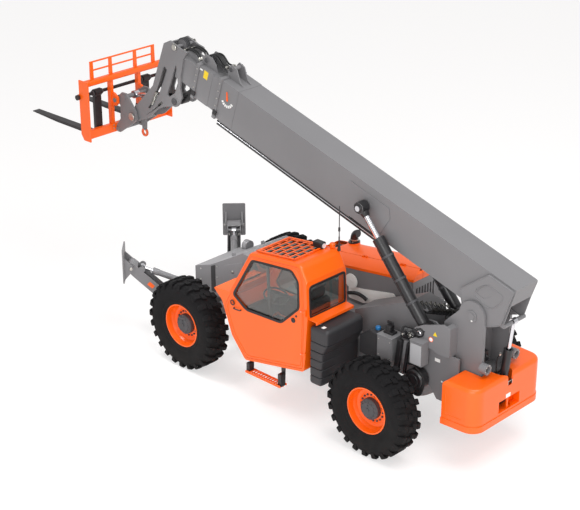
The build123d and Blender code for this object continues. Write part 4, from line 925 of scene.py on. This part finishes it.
# on the boom: runs along its underside that drop in a slack bow
runs = []
for i, y in enumerate(np.linspace(0.03, -0.17, 6)):
    low = -0.690 - 0.010 * (i % 3)
    runs.append([on_boom(0.95 + 0.05 * i, y, -0.622), on_boom(1.08 + 0.05 * i, y, low + 0.02),
                 on_boom(1.35 + 0.04 * i, y, low), on_boom(1.62 + 0.03 * i, y, low + 0.02),
                 on_boom(1.78 + 0.03 * i, y, -0.622)])
hoses("boom_loops", runs, 0.014, "boom_outer", black_zinc)
# orange spiral guard on one of them
guarded = curved([on_boom(1.10, 0.030, -0.662), on_boom(1.24, 0.030, -0.686),
                  on_boom(1.40, 0.030, -0.690)], 10)
piece("hose_guard", tube(guarded, 0.022), orange_enamel, "boom_outer")

# ------------------------------------------------------------------ pod's inner wall
# pale cover with its round lid, and the pipe that runs below it; the cover is drawn white, lighter
# than its own pale grey, as painted light that makes up for the boom's shadow on it
piece("pod_cover",
      joined(side_plate(rounded([(0.060, 1.110), (0.060, 1.290), (-0.230, 1.330), (-0.770, 1.440),
                                 (-0.810, 1.400), (-0.810, 1.260), (-0.420, 1.190),
                                 (-0.230, 1.110)], 0.03), -0.454, 0.010),
             spun([(0.105, 0), (0.110, 0.006), (0.110, 0.020), (0.085, 0.026), (0.030, 0.026),
                   (0.024, 0.032)], at(0.000, -0.450, 1.390), LEFT, 48)),
      white_plate, "chassis", bevel=0.003)
piece("pod_pipe", pipes([[at(0.03, -0.415, 1.20), at(-0.06, -0.405, 1.235), at(-0.15, -0.405, 1.25),
                          at(-0.24, -0.410, 1.235), at(-0.30, -0.430, 1.19)]], 0.026, 16),
      hose_rubber, "chassis")

# ------------------------------------------------------------------ tower and counterweight
# welded outlines round the boom's pivot: the inner patch and the reinforcing plate
LOZENGE = [(-2.660, 2.320), (-2.780, 2.450), (-2.890, 2.500), (-3.105, 2.420), (-3.090, 2.330),
           (-2.960, 2.200), (-2.880, 2.195), (-2.690, 2.270)]
HEX = [(-3.085, 2.005), (-2.990, 1.960), (-2.760, 1.880), (-2.600, 1.880), (-2.510, 2.000),
       (-2.433, 2.306), (-2.869, 2.636), (-3.262, 2.520)]
# cast ridge low on the counterweight's flank, which tapers towards the rear: (x, z)
RIDGE = ((-2.655, 1.140), (-2.655, 0.840), (-2.675, 0.795), (-2.720, 0.778), (-2.800, 0.778),
         (-2.900, 0.778))
FLANK_FRONT, FLANK_Y, FLANK_TAPER = -2.59, 0.737, 0.0556
for name, y_sign in SIDES:
    piece("pivot_rims_" + name,
          joined(*[tube([at(x, 0.2505 * y_sign, z) for x, z in rounded(outline, 0.03, 6)], radius,
                        8, closed=True) for outline, radius in ((LOZENGE, 0.007), (HEX, 0.006))]),
          grey_enamel, "boom_outer")
    ridge = [at(x, y_sign * (FLANK_Y - FLANK_TAPER * (FLANK_FRONT - x)), z) for x, z in RIDGE]
    piece("weight_ridge_" + name, pipes([ridge], 0.006), orange_enamel, "chassis")
    piece("stub_bolts_" + name,
          bolts(circle_of(at(-2.980, 0.300 * y_sign, 1.360), -FORWARD, 0.058, 6, 0.2), -FORWARD,
                0.008, 0.007), zinc_plate, "chassis")
piece("pivot_dots", joined(*[turned(at(x, 0.310, z), LEFT, 0.004, 0.014, 0.001)
                             for x, z in ((-2.655, 2.015), (-2.690, 1.960))]),
      white_plate, "chassis")
piece("weight_catch", joined(box_at(-3.105, 0.045, 1.120, 0.030, 0.012, 0.060),
                             box_at(-3.105, -0.045, 1.120, 0.030, 0.012, 0.060),
                             bar(at(-3.105, -0.055, 1.130), at(-3.105, 0.055, 1.130), 0.006)),
      zinc_plate, "chassis")

# ------------------------------------------------------------------ boom
# hose pipes along the lower left edge, on clips, with a bright pipe between the black ones
RAIL_Y, RAIL_START, RAIL_END = 0.205, 2.05, 5.33
for name, v, radius, made, slot in (("a", -0.636, 0.014, black_enamel, "black_paint"),
                                    ("b", -0.664, 0.010, hard_chrome, "chrome_rod"),
                                    ("c", -0.689, 0.012, black_enamel, "black_paint")):
    piece("rail_pipe_" + name, bar(on_boom(RAIL_START, RAIL_Y, v), on_boom(RAIL_END, RAIL_Y, v),
                                   radius), made, "boom_outer")
clips = [prism(oblong(0.040, 0.102), on_boom(u, 0.182, -0.655), BOOM_ALONG, BOOM_UP, 0.006)
         for u in np.arange(RAIL_START + 0.10, RAIL_END, 0.52)]
piece("rail_clips", joined(*clips), black_enamel, "boom_outer", bevel=0.002,
      segments=1)
# dial on the left side: ticks on an arc, and its pointer
dial = on_boom(5.215, 0.2262, -0.225)
ticks = []
for a in np.linspace(radians(200), radians(320), 7):
    way = cos(a) * BOOM_ALONG + sin(a) * BOOM_UP
    across = np.cross(LEFT, way)
    ticks.append(prism([(0.084, -0.011), (0.124, -0.014), (0.124, 0.014), (0.084, 0.011)], dial,
                       way, across, PLATE))
piece("dial_ticks", joined(*ticks), white_plate, "boom_outer")
piece("dial_pointer",
      joined(prism([(-0.016, -0.02), (0.016, -0.02), (0.010, 0.115), (-0.010, 0.115)],
                   dial + LEFT * 0.006, FORWARD, UP, 0.006),
             turned(dial + LEFT * 0.001, LEFT, 0.014, 0.014)),
      orange_enamel, "boom_outer")
# blank plates on the second section's left side
SECOND_SIDE = 0.1929
piece("boom_plate_yellow", prism(oblong(0.085, 0.120), on_boom(5.7325, SECOND_SIDE, -0.120),
                                 BOOM_ALONG, BOOM_UP, PLATE),
      amber_plate, "boom_second")
piece("boom_plate_white", prism(oblong(0.050, 0.024), on_boom(5.835, SECOND_SIDE, -0.082),
                                BOOM_ALONG, BOOM_UP, PLATE),
      white_plate, "boom_second")
# row of bolts down each flank of a section's collar, and the wear pads standing out under it
for body, u, half, top, bottom in (("boom_outer", 5.40, 0.241, -0.06, -0.54),
                                   ("boom_second", 5.90, 0.208, -0.10, -0.51)):
    pads = []
    for name, y_sign in SIDES:
        row = [on_boom(u, y_sign * half, v) for v in np.linspace(top, bottom, 5)]
        piece(f"{body}_bolts_{name}", bolts(row, LEFT * y_sign, 0.011, 0.009), zinc_plate, body)
        pads.append(prism(oblong(0.070, 0.070),
                          on_boom(u - 0.015, y_sign * (half + 0.008), bottom + 0.015),
                          BOOM_ALONG, BOOM_UP, 0.018))
    piece(body + "_pads", joined(*pads), black_enamel, body, bevel=0.003)
# chains on top of the sections: the links of a strand lie by turns left and right
CHAIN_START, CHAIN_PITCH = 5.44, 0.034
links = []
for y in (-0.045, 0.045):
    for i, u in enumerate(np.arange(CHAIN_START, 5.80, CHAIN_PITCH)):
        rise = 0.035 + 0.055 * min(1.0, (u - CHAIN_START) / 0.30)
        links.append(prism(oblong(0.042, 0.032), on_boom(u, y + 0.008 * (i % 2), rise),
                           BOOM_ALONG, BOOM_UP, 0.010))
piece("chain_second", joined(*links), cast_iron, "boom_second", bevel=0.004,
      segments=1)
chain_pin = at(2.890, 0, 4.360)
wrap = []
for y in (-0.028, 0.0, 0.028):
    for i, a in enumerate(np.linspace(radians(-60), radians(175), 22)):
        way = cos(a) * FORWARD + sin(a) * UP
        place = chain_pin + way * 0.097 + LEFT * (y + 0.004 * (i % 2))
        wrap.append(prism(oblong(0.034, 0.020), place, np.cross(LEFT, way), way, 0.010))
piece("chain_head", joined(*wrap), cast_iron, "boom_third", bevel=0.003, segments=1)
hoses("top_hoses", [[on_boom(5.88, y, 0.000), on_boom(5.84, y, 0.110), on_boom(5.72, y, 0.150),
                     on_boom(5.58, y, 0.090), on_boom(5.46, y, 0.050 + abs(y))]
                    for y in (-0.066, -0.022, 0.0, 0.022, 0.066)], 0.014, "boom_second")
hoses("nose_hoses", [[on_boom(6.32, y, -0.060), on_boom(6.22, y, 0.010), on_boom(6.08, y, 0.020),
                      on_boom(5.98, y, -0.040)] for y in (-0.09, -0.05, 0.05, 0.09)], 0.014,
      "boom_third")
for name, u, v, half in (("outer", 5.370, 0.150, 0.104), ("second", 5.840, 0.050, 0.124)):
    caps = [turned(on_boom(u, y_sign * half, v), LEFT * y_sign, 0.012, 0.034, 0.005)
            for _, y_sign in SIDES]
    piece("sheave_caps_" + name, joined(*caps), cast_iron, "boom_" + name)
ends = [turned(chain_pin + LEFT * 0.194 * s, LEFT * s, 0.014, 0.046, 0.006) for _, s in SIDES]
ends += [bolts(circle_of(chain_pin + LEFT * 0.180 * s, LEFT * s, 0.056, 6), LEFT * s, 0.008,
               0.008) for _, s in SIDES]
piece("chain_pin_caps", joined(*ends), zinc_plate, "boom_third")

# ------------------------------------------------------------------ boom head
# hose loops behind the head
loops = []
for i, y in enumerate((0.075, 0.105, 0.130)):
    s = 0.028 * i
    loops.append([at(2.86, y, 3.98 + s), at(2.76 - s, y, 3.91), at(2.70 - s, y, 3.80),
                  at(2.72 - s, y, 3.68), at(2.80, y, 3.60 - s), at(2.92, y, 3.56 - s)])
hoses("head_loops", loops, 0.012, "boom_third")
# coiled guard on the hose that runs down through the knee slot
centre_line = curved([at(3.10, 0.186, 3.98), at(3.20, 0.190, 3.76), at(3.32, 0.190, 3.58),
                      at(3.405, 0.190, 3.42), at(3.50, 0.190, 3.31)], 10)
piece("head_hose", tube(centre_line, 0.012), hose_rubber, "boom_third")
COIL_TURNS, COIL_RADIUS = 16, 0.020
coil_top, coil_foot = at(3.31, 0.190, 3.60), at(3.425, 0.190, 3.385)
coil_across, coil_other = sides_of(coil_foot - coil_top)
t = np.linspace(0, 1, COIL_TURNS * 14)[:, None]
angle = 2 * np.pi * COIL_TURNS * t
coil = (coil_top + (coil_foot - coil_top) * t
        + COIL_RADIUS * (np.cos(angle) * coil_across + np.sin(angle) * coil_other))
piece("head_coil", tube(coil, 0.0045, 6), zinc_plate, "boom_third")
hoses("knee_hoses", [[at(3.36, y, 3.40), at(3.30, y, 3.35), at(3.16, y, 3.42), at(3.02, y, 3.50),
                      at(2.96, y, 3.60)] for y in (0.096, 0.116, 0.136)], 0.010, "boom_third")
# caps of the coupler's pin and of the tilt cylinder's upper pin
for name, x, z, reach, radius, made, body in (
        ("head", 3.845, 3.100, 0.250, 0.060, zinc_plate, "carriage"),
        ("tilt", 2.935, 3.535, 0.194, 0.052, cast_iron, "boom_third")):
    both = [turned(at(x, reach * s, z), LEFT * s, 0.010, radius, 0.004) for _, s in SIDES]
    piece(name + "_pin_caps", joined(*both), made, body)
# orange paint over the hook: its bow, and the shank above it
hook_centre = at(3.840, 0, 2.795)
t = np.linspace(radians(128), radians(415), 40)[:, None]
bow = hook_centre + 0.052 * (np.cos(t) * FORWARD + np.sin(t) * UP)
bow = np.concatenate([[at(3.840, 0, 2.905), at(3.838, 0, 2.875)], bow[::-1]])
piece("hook_paint", tube(bow, 0.0185, 12), orange_enamel, "boom_third")

# ------------------------------------------------------------------ cylinders
# slim return pipe along each lift barrel, with its clamps and gland bolts
LIFT_WAY = unit(LIFT_EYE - LIFT_BASE)
LIFT_SIDE = np.cross(LEFT, LIFT_WAY)
LIFT_PIPE = ((0.16, 0.075), (0.20, 0.104), (0.34, 0.110), (1.10, 0.110), (1.24, 0.100),
             (1.29, 0.080))                                 # run along the barrel, off its axis
LIFT_CLAMPS = (0.38, 0.72, 1.06)
for name, y_sign in SIDES:
    foot, eye = (pin + LEFT * LIFT_Y * y_sign for pin in (LIFT_BASE, LIFT_EYE))
    pipe = [foot + LIFT_WAY * run + LIFT_SIDE * off for run, off in LIFT_PIPE]
    piece("lift_pipe_" + name, pipes([pipe], 0.011), black_enamel, "lift_barrels")
    clamps = joined(*[spun([(0.081, 0), (0.087, 0.003), (0.087, 0.027), (0.081, 0.030)],
                           foot + LIFT_WAY * run, LIFT_WAY, 40) for run in LIFT_CLAMPS],
                    *[prism(oblong(0.034, 0.034), foot + LIFT_WAY * (run + 0.015)
                            + LIFT_SIDE * 0.100, FORWARD, UP, 0.034) for run in LIFT_CLAMPS])
    piece("lift_clamps_" + name, clamps, cast_iron, "lift_barrels")
    piece("lift_gland_" + name,
          joined(spun([(0.050, 1.328), (0.050, 1.346), (0.074, 1.346), (0.080, 1.340),
                       (0.080, 1.328)], foot, LIFT_WAY, 40),
                 bolts(circle_of(foot + LIFT_WAY * 1.344, LIFT_WAY, 0.063, 8), LIFT_WAY, 0.007,
                       0.007)),
          cast_iron, "lift_barrels")
    # painted eye of the rod, with its neck
    piece("lift_eye_" + name,
          joined(turned(eye - LEFT * 0.0695, LEFT, 0.139, 0.0835, 0.006, 40),
                 spun([(0.047, 0), (0.050, 0.004), (0.060, 0.050), (0.066, 0.070)],
                      eye - LIFT_WAY * 0.140, LIFT_WAY, 36)),
          black_enamel, "lift_rods")
# levelling cylinder: hoses down its barrel from the gland, and the valve on the tower beside it
hoses("level_hoses",
      [[at(-3.000, 0.072, 1.520), at(-2.960, 0.082, 1.430), at(-2.950, 0.084, 1.250),
        at(-2.955, 0.080, 1.080)],
       [at(-3.010, -0.072, 1.520), at(-2.970, -0.082, 1.430), at(-2.955, -0.084, 1.250),
        at(-2.955, -0.080, 1.080)]], 0.011, "level_barrel")
piece("level_valve",
      joined(box_at(-2.830, 0.200, 1.470, 0.06, 0.11, 0.15),
             turned(at(-2.858, 0.170, 1.430), -FORWARD, 0.045, 0.020),
             turned(at(-2.858, 0.215, 1.500), -FORWARD, 0.045, 0.020)),
      black_enamel, "chassis", bevel=0.005)

# ------------------------------------------------------------------ front housing, outriggers
HOUSING_FACE = 0.4505
SCREWS = ((1.830, 1.330), (1.830, 1.160), (2.180, 1.190), (2.180, 1.020), (1.215, 1.600),
          (1.215, 1.200))
for name, y_sign in SIDES:
    face, outward = HOUSING_FACE * y_sign, LEFT * y_sign
    # access panel on the side, with its screws and its latch
    panel = rounded([(1.290, 1.120), (1.700, 1.120), (1.700, 1.390), (1.290, 1.560)], 0.03, 5)
    piece("housing_panel_" + name, side_plate(panel, face + 0.002 * y_sign, 0.007), grey_enamel,
          "chassis", bevel=0.002)
    piece("housing_screws_" + name,
          joined(bolts([at(x, face, z) for x, z in SCREWS], outward, 0.012, 0.008),
                 turned(at(1.500, face, 1.350) + outward * 0.005, outward, 0.010, 0.020, 0.003)),
          zinc_plate, "chassis")
    # reinforcing strip down the front edge
    piece("housing_strip_" + name, side_plate([(1.870, 0.900), (1.960, 0.900), (1.960, 1.300),
                                               (1.870, 1.345)], face + 0.001 * y_sign, 0.007),
          black_enamel, "chassis", bevel=0.002)
# lifting lugs standing square to the sloped top
slope_along, slope_up = unit(np.array([[1.0, 0, -0.5], [0.5, 0, 1.0]]))
lug = rounded([(-0.05, 0), (0.05, 0), (0.03, 0.05), (-0.03, 0.05)], 0.012, 4)
for name, y_sign in SIDES:
    piece("lifting_lug_" + name, prism(lug, at(1.62, 0.30 * y_sign, 1.515), slope_along, slope_up,
                                       0.016), grey_enamel, "chassis", bevel=0.002)
SPLAY = cos(radians(45))
SPLAY_X = 1.970                                             # where both planes cross y = 0
ARM_LENGTH = 1.0621                                         # root pin to foot pin
ARM_ROOT, ARM_WAY = np.array([0.745, 0.430]), np.array([0.753, 0.749]) / ARM_LENGTH


def on_splay(y_sign, s, z, offset=0.0):
    """A place in an outrigger's upright plane, s out along it and offset to its left."""
    return at(SPLAY_X + (s - offset * y_sign) * SPLAY, (offset + s * y_sign) * SPLAY, z)


def on_arm(y_sign, run, up, offset):
    """A place on the arm: run from its root pin to its foot pin, up square to that."""
    s, z = ARM_ROOT + run * ARM_WAY + up * np.array([-ARM_WAY[1], ARM_WAY[0]])
    return on_splay(y_sign, s, z, offset)


def arm_directions(y_sign):
    """Directions along an arm and out to the left of its plane."""
    root = on_arm(y_sign, 0, 0, 0)
    return on_arm(y_sign, 1, 0, 0) - root, on_arm(y_sign, 0, 0, 1) - root


for name, y_sign in SIDES:
    out = arm_directions(y_sign)[1]
    body = "outrigger_arm_" + name
    hoses("arm_hoses_" + name,
          [[on_arm(y_sign, 0.16, -0.010, o), on_arm(y_sign, 0.40, 0.020, o),
            on_arm(y_sign, 0.70, 0.000, o), on_arm(y_sign, 0.90, 0.020, o)]
           for o in (-0.076, 0.076)], 0.010, body)
    caps = [turned(on_arm(y_sign, ARM_LENGTH, 0, 0.150 * s), out * s, 0.008, 0.024, 0.003)
            for s in (1, -1)]
    piece("foot_pin_caps_" + name, joined(*caps), zinc_plate, body)
# blank plate on the left arm's rear face
arm_way, arm_out = arm_directions(1)
piece("arm_plate", prism(oblong(0.100, 0.060), on_arm(1, 0.66, -0.005, 0.1058), arm_way,
                         np.cross(arm_out, arm_way), PLATE),
      orange_enamel, "outrigger_arm_left")

# ------------------------------------------------------------------ engine pod, right side
# hood latches just under the lid's sloping edge
for name, x in (("front", 0.55), ("rear", -0.75)):
    z = 1.446 + (0.93 - x) * 0.1314
    piece("hood_latch_" + name,
          joined(box_at(x, -1.194, z - 0.075, 0.050, 0.010, 0.090),
                 torus(at(x, -1.202, z - 0.095), LEFT, 0.018, 0.005)),
          black_enamel, "chassis", bevel=0.003)
# wire screen behind the louvres
piece("pod_screen", joined(*[box_at(x, -1.172, 1.205, 0.004, 0.004, 0.270)
                             for x in np.arange(-0.56, 0.44, 0.0135)],
                           *[box_at(-0.062, -1.175, z, 1.02, 0.004, 0.004)
                             for z in np.arange(1.08, 1.34, 0.02)]),
      cast_iron, "chassis")
# clamp round the exhaust's foot, and the bolts of its flange
piece("exhaust_clamp", joined(spun([(0.058, 0), (0.064, 0.002), (0.064, 0.020), (0.058, 0.022)],
                                   at(0.450, -1.000, 1.712), UP, 36),
                              bolts(circle_of(at(0.450, -1.000, 1.698), UP, 0.074, 4, 0.4), UP,
                                    0.008, 0.010)),
      zinc_plate, "hood")

# ------------------------------------------------------------------ carriage and forks
# stop collars on the fork shaft, bolts down the uprights
FORK_Y, UPRIGHT_Y = (0.478, -0.478), (0.273, -0.273)
stops = [spun([(0.028, 0), (0.040, 0.002), (0.040, 0.020), (0.028, 0.022)],
              at(4.350, y + s * 0.075, 3.430), LEFT * s, 28) for y in FORK_Y for s in (1, -1)]
piece("fork_stops", joined(*stops), cast_iron, "carriage")
for name, x, heights, way in (
        ("carriage_bolts", 4.3165, (2.83, 2.88, 3.60, 3.66), FORWARD),
        ("carriage_bolts_rear", 4.2395, (2.83, 2.88), -FORWARD)):
    piece(name, bolts([at(x, y, z) for y in UPRIGHT_Y for z in heights], way, 0.012,
                      0.009), zinc_plate, "carriage")
# hoses of the tilt and attachment circuit, looped beside the coupler
hoses("carriage_hoses", [[at(4.150, y, 3.150), at(4.185, y + 0.010, 3.060), at(4.200, y, 2.980),
                          at(4.200, y - 0.010, 2.930)] for y in (0.120, 0.155, -0.120)],
      0.010, "carriage")
